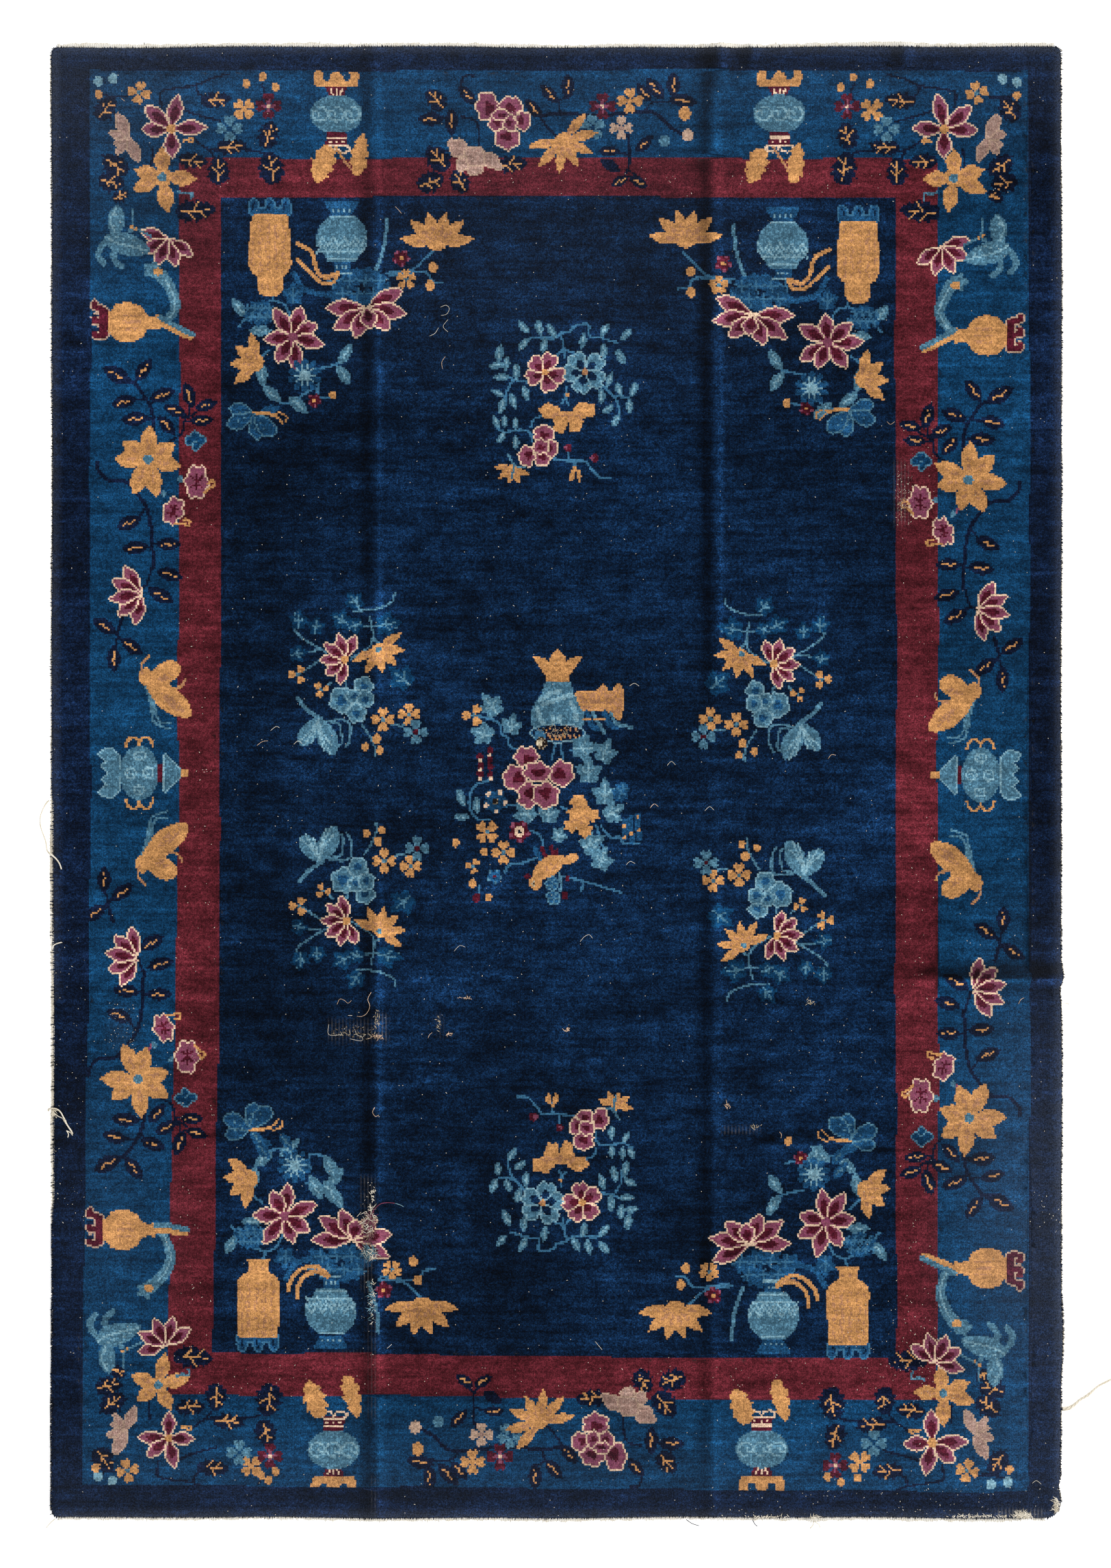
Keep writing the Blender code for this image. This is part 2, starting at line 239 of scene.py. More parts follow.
def smooth_route(route, steps):
    """Points along a smooth curve through a route, as rows of as many numbers."""
    p = np.array([route[0], *route, route[-1]], float)
    t = np.linspace(0, 1, steps, endpoint=False)[:, None]
    spans = [0.5 * (2 * b + (c - a) * t + (2 * a - 5 * b + 4 * c - d) * t ** 2
                    + (3 * b - a - 3 * c + d) * t ** 3)
             for a, b, c, d in zip(p, p[1:], p[2:], p[3:])]
    return np.vstack([*spans, p[-1:]])


def tube_faces(bm, rings):
    """Faces from ring to ring and over both ends."""
    sides = len(rings[0])
    made = [bm.faces.new((low[i], low[(i + 1) % sides], high[(i + 1) % sides], high[i]))
            for low, high in zip(rings, rings[1:]) for i in range(sides)]
    return made + [bm.faces.new(rings[0][::-1]), bm.faces.new(rings[-1])]


def closed_mesh(bm, name, materials):
    """The finished mesh of what was made, its faces turned outward."""
    bmesh.ops.recalc_face_normals(bm, faces=bm.faces)
    data = bpy.data.meshes.new(name)
    bm.to_mesh(data)
    bm.free()
    for material in materials:
        data.materials.append(material)
    return data


def round_angles(count):
    """As many angles, evenly round a circle."""
    return np.linspace(0, 2 * math.pi, count, endpoint=False)


def plied_tube(name, rows, material, sides=8, strands=STRANDS, lay=LAY):
    """A plied cord through rows of x, y, z and radius: strands twisted about its line."""
    bm = bmesh.new()
    ways = np.gradient(rows[:, :3], axis=0)
    ways /= np.linalg.norm(ways, axis=1)[:, None]
    run = np.concatenate([[0], np.cumsum(np.linalg.norm(np.diff(rows[:, :3], axis=0), axis=1))])
    turns = np.diff(run) / (np.broadcast_to(lay, len(rows))[1:] * 2 * rows[1:, 3])
    angles = np.concatenate([[0], 2 * math.pi * np.cumsum(turns)])
    for k in range(strands):
        rings = []
        for (x, y, z, radius), way, angle in zip(rows, ways, angles):
            side = np.cross(way, (0, 0, 1))
            side /= max(np.linalg.norm(side), 1e-6)
            up = np.cross(side, way)
            a = angle + 2 * math.pi * k / strands
            thin = STRAND_SHARE * radius
            middle = np.array((x, y, z)) + (radius - thin) * (math.cos(a) * side + math.sin(a) * up)
            rings.append([bm.verts.new(middle + thin * (math.cos(b) * side + math.sin(b) * up))
                          for b in round_angles(sides)])
        tube_faces(bm, rings)
    data = closed_mesh(bm, name, [material])
    data.polygons.foreach_set("use_smooth", [True] * len(data.polygons))
    return put(name, data)


cord_cotton = cotton("undyed_plied_cotton_cord", "#fff8ea", "#dbd0b8")
for name, node_name, route in (("loose_side_cord", "loose_cord", LOOSE_CORD_ROUTE),
                               ("loop_binding_thread", "loop_thread", LOOP_THREAD_ROUTE),
                               ("knotted_binding_thread", "knot_thread", KNOT_THREAD_ROUTE)):
    rows = smooth_route(route, 6)
    piece = plied_tube(name, rows, cord_cotton)
    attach(piece, "root")
    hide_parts(node_name)
    length = float(np.linalg.norm(np.diff(rows[:, :3], axis=0), axis=1).sum())
    tuple(route[0][:3])
    2 * float(np.median(rows[:, 3]))
    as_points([tuple(row[:3]) for row in rows[::3]] + [tuple(rows[-1][:3])])

# ---------------------------------------------------------------- tools for the pattern
# The pattern is a chart of knots.  Motifs are drawn on it with a few simple shapes, in
# millimetres from each motif's middle, and their places are pixels of the picture.
COLUMNS, ROWS = 554, 806          # knots across and along
CHART_LEFT, CHART_RIGHT, CHART_BOTTOM, CHART_TOP = -914.2, 911.8, -1332.6, 1328.9
KNOT = (CHART_RIGHT - CHART_LEFT) / COLUMNS
across = CHART_LEFT + (np.arange(COLUMNS) + 0.5) * (CHART_RIGHT - CHART_LEFT) / COLUMNS
along = CHART_BOTTOM + (np.arange(ROWS) + 0.5) * (CHART_TOP - CHART_BOTTOM) / ROWS
YARNS = "outer blue red field gold tan light mid cream mauve wine ink rose bare soot pale steel sand".split()
(OUTER, BLUE, RED, FIELD, GOLD, TAN, LIGHT, MID, CREAM, MAUVE, WINE, INK, ROSE, _, _,
 PALE, STEEL, SAND) = range(len(YARNS))
chart = np.full((ROWS, COLUMNS), OUTER, np.int8)
LINE_WIDTH, STEM_WIDTH = 1.25, 1.3      # in knots, where nothing else is said


def grown(mask):
    """The knots of a shape and those that touch them."""
    wide = mask.copy()
    wide[1:] |= mask[:-1]
    wide[:-1] |= mask[1:]
    wide[:, 1:] |= mask[:, :-1]
    wide[:, :-1] |= mask[:, 1:]
    return wide


def bend(points):
    """Points along a smooth curve through a few."""
    return [tuple(point) for point in smooth_route(points, 7)]


class Patch:
    """The knots near one place, and where each lies in a motif set there.

    turn is the way the motif's top points, clockwise from the top of the rug."""

    def __init__(self, px, py, reach, turn=0.0, flip=1):
        self.px, self.py = px, py
        x, y = (px - MIDDLE_PX[0]) * PIXEL_MM, (MIDDLE_PX[1] - py) * PIXEL_MM
        left, right = np.searchsorted(across, (x - reach, x + reach))
        low, high = np.searchsorted(along, (y - reach, y + reach))
        self.knots = chart[low:high, left:right]
        over, up = np.meshgrid(across[left:right] - x, along[low:high] - y)
        a = math.radians(turn)
        self.u = flip * (over * math.cos(a) - up * math.sin(a))
        self.v = over * math.sin(a) + up * math.cos(a)

    def at(self, px, py):
        """A place in the picture, in millimetres from the patch's middle."""
        return (px - self.px) * PIXEL_MM, (self.py - py) * PIXEL_MM

    def disc(self, u, v, wide, tall=None):
        """A round or oval spot, as wide and tall as it is said."""
        tall = tall or wide
        return ((self.u - u) / wide) ** 2 + ((self.v - v) / tall) ** 2 < 0.25

    def blob(self, u, v, wide, tall, bumps=5, start=0.0, depth=0.16):
        """An oval with a scalloped edge."""
        du, dv = (self.u - u) / wide, (self.v - v) / tall
        return np.hypot(du, dv) < 0.5 * (1 + depth * np.cos(bumps * np.arctan2(dv, du) + start))

    def leaf(self, u, v, turn, long, wide, belly=0.5, blunt=1.0):
        """A leaf from (u, v), widest at belly; blunt under 1 is rounder."""
        a = math.radians(turn)
        s = ((self.u - u) * math.sin(a) + (self.v - v) * math.cos(a)) / long
        t = (self.u - u) * math.cos(a) - (self.v - v) * math.sin(a)
        bow = np.clip(s, 0, 1) ** (math.log(0.5) / math.log(belly))
        return (np.abs(t) < 0.5 * wide * np.sin(math.pi * bow) ** blunt) & (s > 0) & (s < 1)

    def line(self, points, wide=LINE_WIDTH):
        """A line through the points, wide in knots."""
        near = np.full(self.u.shape, np.inf)
        for (u0, v0), (u1, v1) in zip(points, points[1:]):
            run = max((u1 - u0) ** 2 + (v1 - v0) ** 2, 1e-9)
            s = np.clip(((self.u - u0) * (u1 - u0) + (self.v - v0) * (v1 - v0)) / run, 0, 1)
            near = np.minimum(near, np.hypot(self.u - u0 - s * (u1 - u0), self.v - v0 - s * (v1 - v0)))
        return near < 0.5 * wide * KNOT

    def curve(self, points, wide=LINE_WIDTH):
        """A line that bends smoothly through the points."""
        return self.line(bend(points), wide)

    def shape(self, *corners):
        """The knots inside corners that are joined in turn."""
        inside = np.zeros(self.u.shape, bool)
        for (u0, v0), (u1, v1) in zip(corners, corners[1:] + corners[:1]):
            if u0 != u1 or v0 != v1:
                share = (self.v - v0) / ((v1 - v0) or 1e-9)
                inside ^= ((v0 > self.v) != (v1 > self.v)) & (self.u < u0 + share * (u1 - u0))
        return inside

    def turned(self, *profile):
        """A shape like a turned pot: pairs of height and half-width."""
        heights, halves = zip(*profile)
        return np.abs(self.u) < np.interp(self.v, heights, halves, left=0, right=0)

    def tie(self, mask, yarn, rim=None):
        """Ties a shape's knots in a yarn, and those round it in another."""
        if rim is not None:
            self.knots[grown(mask)] = rim
        self.knots[mask] = yarn


def patch_over(places, margin):
    """A patch that holds places of the picture and a margin round them."""
    px, py = np.array(places, float).T
    mx, my = px.mean(), py.mean()
    return Patch(mx, my, PIXEL_MM * max(np.abs(px - mx).max(), np.abs(py - my).max()) + margin)


def stem(yarn, *places, wide=LINE_WIDTH):
    """A stem through places of the picture."""
    p = patch_over(places, 12)
    p.tie(p.curve([p.at(*place) for place in places], wide), yarn)


# ---------------------------------------------------------------- motifs
# One function for each kind of flower, leaf, vase or butterfly; each draws itself in
# millimetres about the place it is given, turned and mirrored as it is asked to be.

def fan(p, ways, longs, wide, fill, rim, heart, base=(0, 0), share=0.66, blunt=1.05):
    """Pointed petals from a base, each with a rim and a darker heart."""
    for way, long in zip(ways, longs):
        a = math.radians(way)
        p.tie(p.leaf(*base, way, long, wide, 0.56, blunt), fill, rim)
        p.tie(p.leaf(base[0] + 0.06 * long * math.sin(a), base[1] + 0.06 * long * math.cos(a),
                     way, share * long, 0.62 * wide, 0.62, 0.9), heart)


def star(px, py, turn=0, size=108, flip=1, count=7, eye=MAUVE, ways=None):
    """An open flower: cream-edged mauve petals with wine hearts."""
    p, half = Patch(px, py, 0.66 * size, turn, flip), 0.5 * size
    ways = ways or [360 * k / count + 9 * math.sin(2.3 * k + px) for k in range(count)]
    longs = [half * (1.02 + 0.12 * math.sin(1.7 * k + py)) for k in range(len(ways))]
    fan(p, ways, longs, 0.42 * half, MAUVE, CREAM, WINE, blunt=1.2)
    if eye is not None:
        p.tie(p.disc(0, 0, 0.15 * size), eye)


def corner_star(px, py, turn=0, size=116, flip=1):
    """The corner's open flower, its five petals unevenly set."""
    star(px, py, turn, size, flip, eye=GOLD, ways=(12, 88, 178, 268, 311))


def lotus(px, py, turn=0, size=110, flip=1, count=5, spread=180, even=0, eye=None):
    """The same flower from the side: a fan of petals, longest at its two ends."""
    p = Patch(px, py, 0.75 * size, turn, flip)
    ways = [spread * (k / (count - 1) - 0.5) for k in range(count)]
    ways.sort(key=lambda w: -abs(w))
    longs = [size * (0.5 if even else 0.25 + 0.26 * abs(math.sin(math.radians(w)))) for w in ways]
    base = (0, 0 if even else -0.08 * size)
    fan(p, ways, longs, size * min(0.19, 1.25 / count), MAUVE, CREAM, WINE, base, blunt=1.15)
    if eye is not None:
        p.tie(p.disc(*base, 0.16 * size), eye)


def gold_star(px, py, turn=0, size=110, flip=1, count=7, eye=LIGHT, ways=None, wide=0.53, blunt=0.9):
    """Gold petals with tan hearts round a light eye."""
    p, half = Patch(px, py, 0.66 * size, turn, flip), 0.5 * size
    ways = ways or [360 * k / count + 8 * math.sin(2.9 * k + py) for k in range(count)]
    longs = [half * (1.03 + 0.12 * math.sin(1.3 * k + px)) for k in range(len(ways))]
    for way, long in zip(ways, longs):
        p.tie(p.leaf(0, 0, way, 1.05 * long, wide * half, 0.54, blunt), GOLD)
    p.tie(p.disc(0, 0, 0.62 * half), GOLD)
    for way, long in zip(ways, longs):
        a = math.radians(way)
        p.tie(p.leaf(0.24 * half * math.sin(a), 0.24 * half * math.cos(a), way, 0.5 * long, 0.17 * half,
                     0.5), TAN)
    if eye is not None:
        p.tie(p.disc(0, 0, 0.15 * size), eye)


def corner_gold(px, py, turn=0, size=112, flip=1):
    """The corner's gold flower, of five petals."""
    gold_star(px, py, turn, size, flip, ways=(-1, 93, 171, 246, 285), wide=0.52, blunt=1.2)


def gold_fan(px, py, turn=0, size=130, flip=1, count=5, spread=176, eye=None, back=0.22):
    """A gold flower from the side, tan hearts in its petals."""
    p = Patch(px, py, 0.75 * size, turn, flip)
    ways = [spread * (k / (count - 1) - 0.5) for k in range(count)]
    base = (0, -back * size)
    longs = [size * (0.44 + 0.09 * abs(math.sin(math.radians(w)))) for w in ways]
    for way, long in zip(ways, longs):
        p.tie(p.leaf(*base, way, 1.1 * long, size * min(0.21, 1.1 / count), 0.54, 1.15), GOLD)
    p.tie(p.disc(*base, 0.3 * size, 0.22 * size), GOLD)
    for way, long in zip(ways, longs):
        a = math.radians(way)
        p.tie(p.leaf(base[0] + 0.1 * long * math.sin(a), base[1] + 0.1 * long * math.cos(a), way,
                     0.55 * long, 0.08 * size, 0.6), TAN)
    if eye is not None:
        p.tie(p.disc(*base, 0.12 * size), eye)


# Petals from the lowest to the topmost: middle, width and height, in halves of the flower.
PEONY = ((-0.60, 0.54, 0.74, 1.0), (0.26, 0.54, 0.80, 0.68), (0.72, 0.0, 0.50, 0.64),
         (0.14, -0.64, 0.86, 0.74), (-0.26, -0.06, 0.50, 0.56), (0.24, -0.08, 0.42, 0.54),
         (-0.10, 0.22, 0.56, 0.36))
SMALL_PEONY = ((-0.04, 0.47, 0.64, 0.52), (0.62, 0.36, 0.60, 0.84), (-0.46, 0.02, 0.44, 0.68),
               (-0.12, -0.60, 0.78, 0.68), (0.02, -0.04, 0.58, 0.56))
GREAT_PEONY = ((-0.50, 0.66, 0.72, 0.54), (-0.86, 0.0, 0.66, 0.72), (0.60, 0.14, 0.70, 0.74),
               (-0.44, -0.54, 0.60, 0.74), (0.10, -0.54, 0.72, 0.76), (-0.16, 0.18, 0.80, 0.54))
GOLD_CAP = ((-0.57, -0.22, 0.80, 0.57), (0.68, -0.18, 0.72, 0.53), (-0.25, 0.26, 0.50, 0.64),
            (0.30, 0.28, 0.48, 0.66), (0.02, 0.0, 1.1, 0.40))
CLOUD = ((-0.15, 0.60, 0.72, 0.66), (-0.16, 0.10, 0.90, 0.60), (0.44, 0.0, 0.66, 0.56),
         (-0.42, -0.42, 0.66, 0.60), (0.16, -0.66, 0.62, 0.60))
BUNCH = ((0.42, 0.66, 0.72, 0.66), (-0.55, 0.05, 0.86, 0.98), (0.02, 0.22, 0.62, 0.52),
         (0.48, 0.10, 0.60, 0.66), (0.10, -0.52, 0.74, 0.70))
BLOSSOM = ((0.02, 0.62, 0.52, 0.72), (0.30, -0.52, 0.40, 0.86), (-0.34, 0.16, 0.46, 0.40),
           (-0.20, -0.24, 0.52, 0.46), (0.10, -0.02, 0.60, 0.70))


def peony(px, py, turn=0, size=100, flip=1, petals=PEONY):
    """A full flower: heaped cream-edged scalloped petals, wine at their hearts."""
    p, half = Patch(px, py, 0.66 * size, turn, flip), 0.5 * size
    for k, (u, v, wide, tall) in enumerate(petals):
        u, v, wide, tall = u * half, v * half, wide * half, tall * half
        p.tie(p.blob(u, v, wide, tall, 6, k, 0.1), MAUVE, CREAM)
        p.tie(p.blob(0.88 * u, 0.88 * v, 0.52 * wide, 0.46 * tall, 3, k, 0.2), WINE)


def small_peony(px, py, turn=0, size=76, flip=1):
    """A small one, of five petals."""
    peony(px, py, turn, size, flip, SMALL_PEONY)


def great_peony(px, py, turn=0, size=118, flip=1):
    """A great one, of six."""
    peony(px, py, turn, size, flip, GREAT_PEONY)


def blossom(px, py, turn=0, size=92, flip=1):
    """A dusty tan flower from the side, its lobes edged a little lighter."""
    p, half = Patch(px, py, 0.7 * size, turn, flip), 0.5 * size
    for u, v, wide, tall in BLOSSOM:
        p.tie(p.blob(u * half, v * half, wide * half, tall * half, 4, u, 0.12), ROSE, SAND)


def pale_flower(px, py, turn=0, size=100, flip=1):
    """A dusty rose flower seen from its side; (px, py) is the petals' base."""
    p = Patch(px, py, 0.7 * size, turn, flip)
    for way, long, wide in ((-118, 0.30, 0.13), (-76, 0.36, 0.12), (-146, 0.38, 0.13), (-24, 0.50, 0.20),
                            (157, 0.50, 0.18)):
        p.tie(p.leaf(0, 0, way, long * size, wide * size, 0.5, 1.0), ROSE, SAND)


def gold_cap(px, py, turn=0, size=100, flip=1):
    """A low gold flower, wide as a mushroom's cap."""
    p, half = Patch(px, py, 0.66 * size, turn, flip), 0.5 * size
    for k, (u, v, wide, tall) in enumerate(GOLD_CAP):
        p.tie(p.blob(u * half, v * half, wide * half, tall * half, 5, k, 0.1), GOLD)
    for u in (-0.44, 0.02, 0.46):
        p.tie(p.blob(u * half, -0.02 * half, 0.34 * half, 0.26 * half, 4, u, 0.2), TAN)


def cloud(px, py, turn=0, size=76, flip=1):
    """A gold flower of scalloped lobes."""
    p, half = Patch(px, py, 0.66 * size, turn, flip), 0.5 * size
    for k, (u, v, wide, tall) in enumerate(CLOUD):
        p.tie(p.blob(u * half, v * half, wide * half, tall * half, 6, k), GOLD)
    p.tie(p.disc(0, 0, 0.8 * half, 1.3 * half), GOLD)
    for u, v in ((-0.1, 0.28), (0.14, -0.16), (-0.24, -0.3)):
        p.tie(p.curve([((u - 0.3) * half, v * half), (u * half, (v + 0.1) * half),
                       ((u + 0.3) * half, (v - 0.06) * half)], 1.0), TAN)


def petals(p, ways, long, wide):
    """Petals about a middle, broad and notched at their outer ends."""
    for way in ways:
        a = math.radians(way)
        notch = p.disc(long * math.sin(a), long * math.cos(a), 0.34 * wide)
        yield way, p.leaf(0, 0, way, 1.04 * long, wide, 0.68, 0.66) & ~notch


def plum(px, py, turn=0, size=42, yarn=GOLD, eye=LIGHT, count=4):
    """A small flower of a few heart-shaped petals."""
    p = Patch(px, py, 0.7 * size, turn)
    for _, petal in petals(p, [360 * k / count for k in range(count)], 0.52 * size,
                           min(0.44, 1.9 / count) * size):
        p.tie(petal, yarn)
    p.tie(p.disc(0, 0, 0.2 * size), eye)


def cross_plum(px, py, turn=0, size=46):
    """Wine petals, mauve toward a cream eye."""
    plum(px, py, turn, size, WINE, WINE)
    p = Patch(px, py, size, turn)
    p.tie(p.disc(0, 0, 0.14 * size, 0.56 * size) | p.disc(0, 0, 0.56 * size, 0.14 * size), MAUVE)
    p.tie(p.disc(0, 0, 0.15 * size), CREAM)


def berry(px, py, turn=0, size=15, yarn=GOLD):
    """A round spot; it needs no turn."""
    p = Patch(px, py, size)
    p.tie(p.disc(0, 0, 0.86 * size, size), yarn)


def leaf(px, py, turn=0, size=46, yarn=INK, vein=GOLD, wide=0.56):
    """A pointed leaf with a wavering vein."""
    p = Patch(px, py, 0.7 * size, turn)
    p.tie(p.leaf(0, -0.56 * size, 0, 1.12 * size, wide * size, 0.5, 0.75), yarn)
    if vein is not None:
        p.tie(p.line([(0.05 * size, -0.28 * size), (-0.05 * size, -0.04 * size),
                      (0.05 * size, 0.04 * size), (0, 0.27 * size)], 0.85), vein)


def toothed(px, py, turn=0, size=60, yarn=INK, vein=GOLD, wide=0.8, teeth=4, flip=1):
    """A jagged leaf with a branching vein."""
    p = Patch(px, py, 0.8 * size, turn, flip)
    s = np.clip(p.v / size + 0.5, 0, 1)
    notches = 1 - 0.34 * ((s * teeth + 0.2 * (p.u > 0)) % 1)
    edge = 0.56 * wide * size * np.sin(math.pi * s ** 0.8) ** 0.5 * notches
    p.tie((np.abs(p.u) < edge) & (s > 0) & (s < 1), yarn)
    if vein is not None:
        twig = p.line([(0, -0.40 * size), (0.02 * size, 0.0), (0, 0.34 * size)], 0.8)
        for k, side in ((-0.2, 1), (-0.08, -1), (0.08, 1)):
            twig |= p.line([(0.01 * size, k * size), (side * 0.22 * size, (k + 0.17) * size)], 0.8)
        p.tie(twig, vein)


def border_vase(px, py, turn=0, flip=1):
    """A scrolled vase on a gold crown foot; (px, py) is the middle of its body."""
    p = Patch(px, py, 92, turn, flip)
    p.tie(p.turned((-64, 34), (-56, 37), (-50, 34)) | p.disc(0, -64, 24, 28) | p.disc(0, -58, 34, 18), GOLD)
    for side in (-1, 1):
        p.tie(p.disc(side * 31, -68, 21, 24) | p.disc(side * 34, -62, 12, 26), GOLD)
        p.tie(p.disc(side * 18, -70, 14, 18), BLUE)
    p.tie(p.turned((-49, 20), (-33, 13)), WINE)
    for u in (-10, 0, 10):
        p.tie(p.line([(u, -44), (0.6 * u, -34)], 1.1), CREAM)
    p.tie(p.disc(0, 0, 94, 70), LIGHT)
    for u in (-29, 0, 29):
        ring = [(u + 13.5 * math.cos(t), 12.5 * math.sin(t)) for t in np.linspace(-0.5, 4.9, 14)]
        p.tie(p.line(ring, 1.2) | p.line([(u + 11, -6), (u + 4, -4), (u + 2, 3)], 1.1), PALE)
    p.tie(p.turned((33, 17), (42, 18), (60, 21)), WINE)
    p.tie(p.line([(-17, 43), (17, 43)], 1.2), CREAM)
    for u in (-12, 0, 11):
        p.tie(p.disc(u, 50, 4.4), CREAM)
    lip = [(-18, 57), (-24, 60), (-24, 66), (-14, 70), (-4, 67), (0, 59)]
    p.tie(p.line([*lip, *[(-u, v) for u, v in lip[-2::-1]], lip[0]], 1.1), CREAM)


def gold_vase(px, py, turn=90, flip=1, spout=26):
    """A round gold vase on a wine foot; (px, py) is the middle of its body."""
    p = Patch(px, py, 122, turn, flip)
    foot = p.turned((-58, 28), (-45, 28), (-42, 12))
    for u in (-25, 0, 25):
        foot |= p.line([(u, -54), (u - 3, -69), (u - 9, -67)], 3.0)
    p.tie(foot, WINE, SAND)
    for u in (-13, 13):
        p.tie(p.line([(u, -62), (u, -70)], 1.6), p.knots[0, 0])
    p.tie(p.turned((-44, 18), (-38, 21), (-28, 33), (-8, 37), (8, 34), (20, 27), (26, 16), (30, 12),
                   (44, 11), (45, 14), (52, 14)), GOLD)
    p.tie(p.line([(0, 52), (0.5 * spout, 76), (spout, 106)], 3.6), GOLD)
    p.tie(p.curve([(-9, 52), (0.5 * spout - 10, 74), (spout - 4, 110)], 3.0), LIGHT)
    for u in (-12, 0, 12):
        p.tie(p.turned((-16, 20), (16, 18)) & (np.abs(p.u - u) < 2.6), TAN)


def smoke(places, spot):
    """A serrated light plume through places, from its head to its tail, with a gold spot."""
    p = patch_over(places, 30)
    points = bend([p.at(*place) for place in places])
    p.tie(p.blob(*points[1], 30, 28, 5), LIGHT)
    for k, (a, b) in enumerate(zip(points, points[1:])):
        p.tie(p.line([a, b], 5.0 - 3.2 * k / len(points) + 2.2 * (k % 2)), LIGHT)
    p.tie(p.line(points[8:], 1.0), PALE)
    p.tie(p.disc(*p.at(*spot), 17, 14), GOLD)


def pot(px, py, turn=90, flip=1):
    """A lidded light pot with gold handles; (px, py) is the middle of its body."""
    p = Patch(px, py, 100, turn, flip)
    for side in (-1, 1):
        for v in (-11, 12):
            ring = [(side * (45 + 20 * max(0, math.sin(t))), v + 13 * math.cos(t))
                    for t in np.linspace(0.1, 3.0, 9)]
            p.tie(p.line(ring, 1.5), GOLD)
    crown = p.turned((-50, 32), (-36, 33))
    for u in (-38, -13, 13, 38):
        crown |= p.leaf(0.75 * u, -38, 180 - 0.35 * u, 36 if abs(u) > 20 else 30, 22, 0.4)
    p.tie(crown, LIGHT, PALE)
    p.tie(p.disc(0, 0, 98, 70), LIGHT)
    for u, v in ((0, -15), (0, 17), (-31, 2), (31, 0)):
        ring = [(u + (10 if not u else 8) * math.cos(t), v + (9 if not u else 10) * math.sin(t))
                for t in np.linspace(0, 6.3, 14)]
        p.tie(p.line(ring, 1.1), PALE)
        p.tie(p.line([(u, v - 3), (u + 3, v + 3)], 1.0), PALE)
    p.tie(p.turned((34, 16), (46, 16)), WINE)
    p.tie(p.turned((46, 34), (76, 4)), LIGHT, PALE)
    p.tie(p.turned((76, 8), (90, 8)), GOLD)


def bud(px, py, turn=0, size=36):
    """A lobed mauve bud with a wine heart and a cream edge."""
    p = Patch(px, py, size, turn)
    p.tie(p.blob(0, 0, 0.62 * size, 0.92 * size, 6, 0.4, 0.12), MAUVE, CREAM)
    p.tie(p.line([(0, -0.2 * size), (0, 0.22 * size)], 1.3), WINE)
    for side in (-1, 1):
        p.tie(p.line([(0, 0), (side * 0.16 * size, 0.15 * size)], 1.1)
              | p.line([(0, -0.06 * size), (side * 0.15 * size, -0.14 * size)], 1.1), WINE)


def hook(px, py, turn=0, flip=1, yarn=GOLD, size=24):
    """A short curled tendril."""
    p, h = Patch(px, py, size, turn, flip), 0.5 * size
    p.tie(p.curve([(-0.6 * h, -h), (-0.1 * h, -0.1 * h), (0.6 * h, 0.5 * h), (0.1 * h, h),
                   (-0.4 * h, 0.5 * h)], 1.4), yarn)


def outlined(px, py, turn=0, size=36, rim=LIGHT, fill=BLUE):
    """A small flower whose dark petals are outlined."""
    p = Patch(px, py, 0.75 * size, turn)
    lobes = p.disc(0, 0.22 * size, 0.42 * size) | p.disc(0.03 * size, -0.24 * size, 0.3 * size, 0.4 * size)
    for side, v in ((-1, 0), (1, 0.02)):
        lobes |= p.disc(side * 0.28 * size, v * size, 0.42 * size, 0.36 * size)
    p.tie(lobes, fill, rim)


def gold_butterfly(px, py, turn=0, flip=1):
    """Two gold wings, a light body with a forked tail, and feelers."""
    p = Patch(px, py, 92, turn, flip)
    p.tie(p.curve([(-34, 10), (-26, -16), (-22, -42)], 3.6), LIGHT)
    p.tie(p.curve([(-22, -42), (-20, -62), (8, -73)], 1.2)
          | p.curve([(-20, -42), (-10, -60), (10, -62)], 1.2), LIGHT)
    p.tie(p.leaf(-40, 12, 66, 72, 38, 0.66, 0.5) | p.leaf(-38, 16, 128, 106, 44, 0.56, 0.6), GOLD)
    p.tie(p.disc(-36, 22, 26, 32) | p.disc(-14, 10, 44, 36), GOLD)
    p.tie(p.leaf(-16, 16, 72, 32, 14, 0.5) | p.leaf(-8, -8, 130, 56, 18, 0.5), TAN)
    p.tie(p.curve([(-42, 26), (-44, 44), (-30, 60)], 1.3) | p.curve([(10, 2), (28, 4), (36, 18)], 1.3), TAN)


def light_butterfly(px, py, turn=0, flip=1):
    """A light butterfly with two tails and fine feelers, (px, py) its middle."""
    p = Patch(px, py, 76, turn, flip)
    p.tie(p.curve([(-12, -12), (-17, -32), (-9, -45), (-1, -50)], 3.2), LIGHT)
    p.tie(p.curve([(-24, 2), (-38, -14), (-44, -30), (-34, -44)], 3.4), LIGHT)
    p.tie(p.leaf(-32, 2, 107, 86, 40, 0.42, 0.6) | p.leaf(-14, 2, 4, 60, 32, 0.52, 0.7), LIGHT)
    p.tie(p.curve([(-30, 4), (-14, -6), (10, -13), (44, -21)], 1.1)
          | p.curve([(-14, 12), (-22, 34), (-11, 56)], 1.1), PALE)
    for u, v in ((-10, 4), (2, 0), (12, 4), (20, -4), (-16, 22), (-6, 32), (-14, 44), (30, -12)):
        p.tie(p.disc(u, v, 5.5, 4), PALE)
    p.tie(p.line([(19, 20), (34, 13), (50, 5)], 1.3) | p.line([(19, 20), (17, 38), (17, 51)], 1.3)
          | p.disc(14, 14, 12, 8), LIGHT)
    p.tie(p.disc(24, 17, 6) | p.disc(16, 22, 6), GOLD)


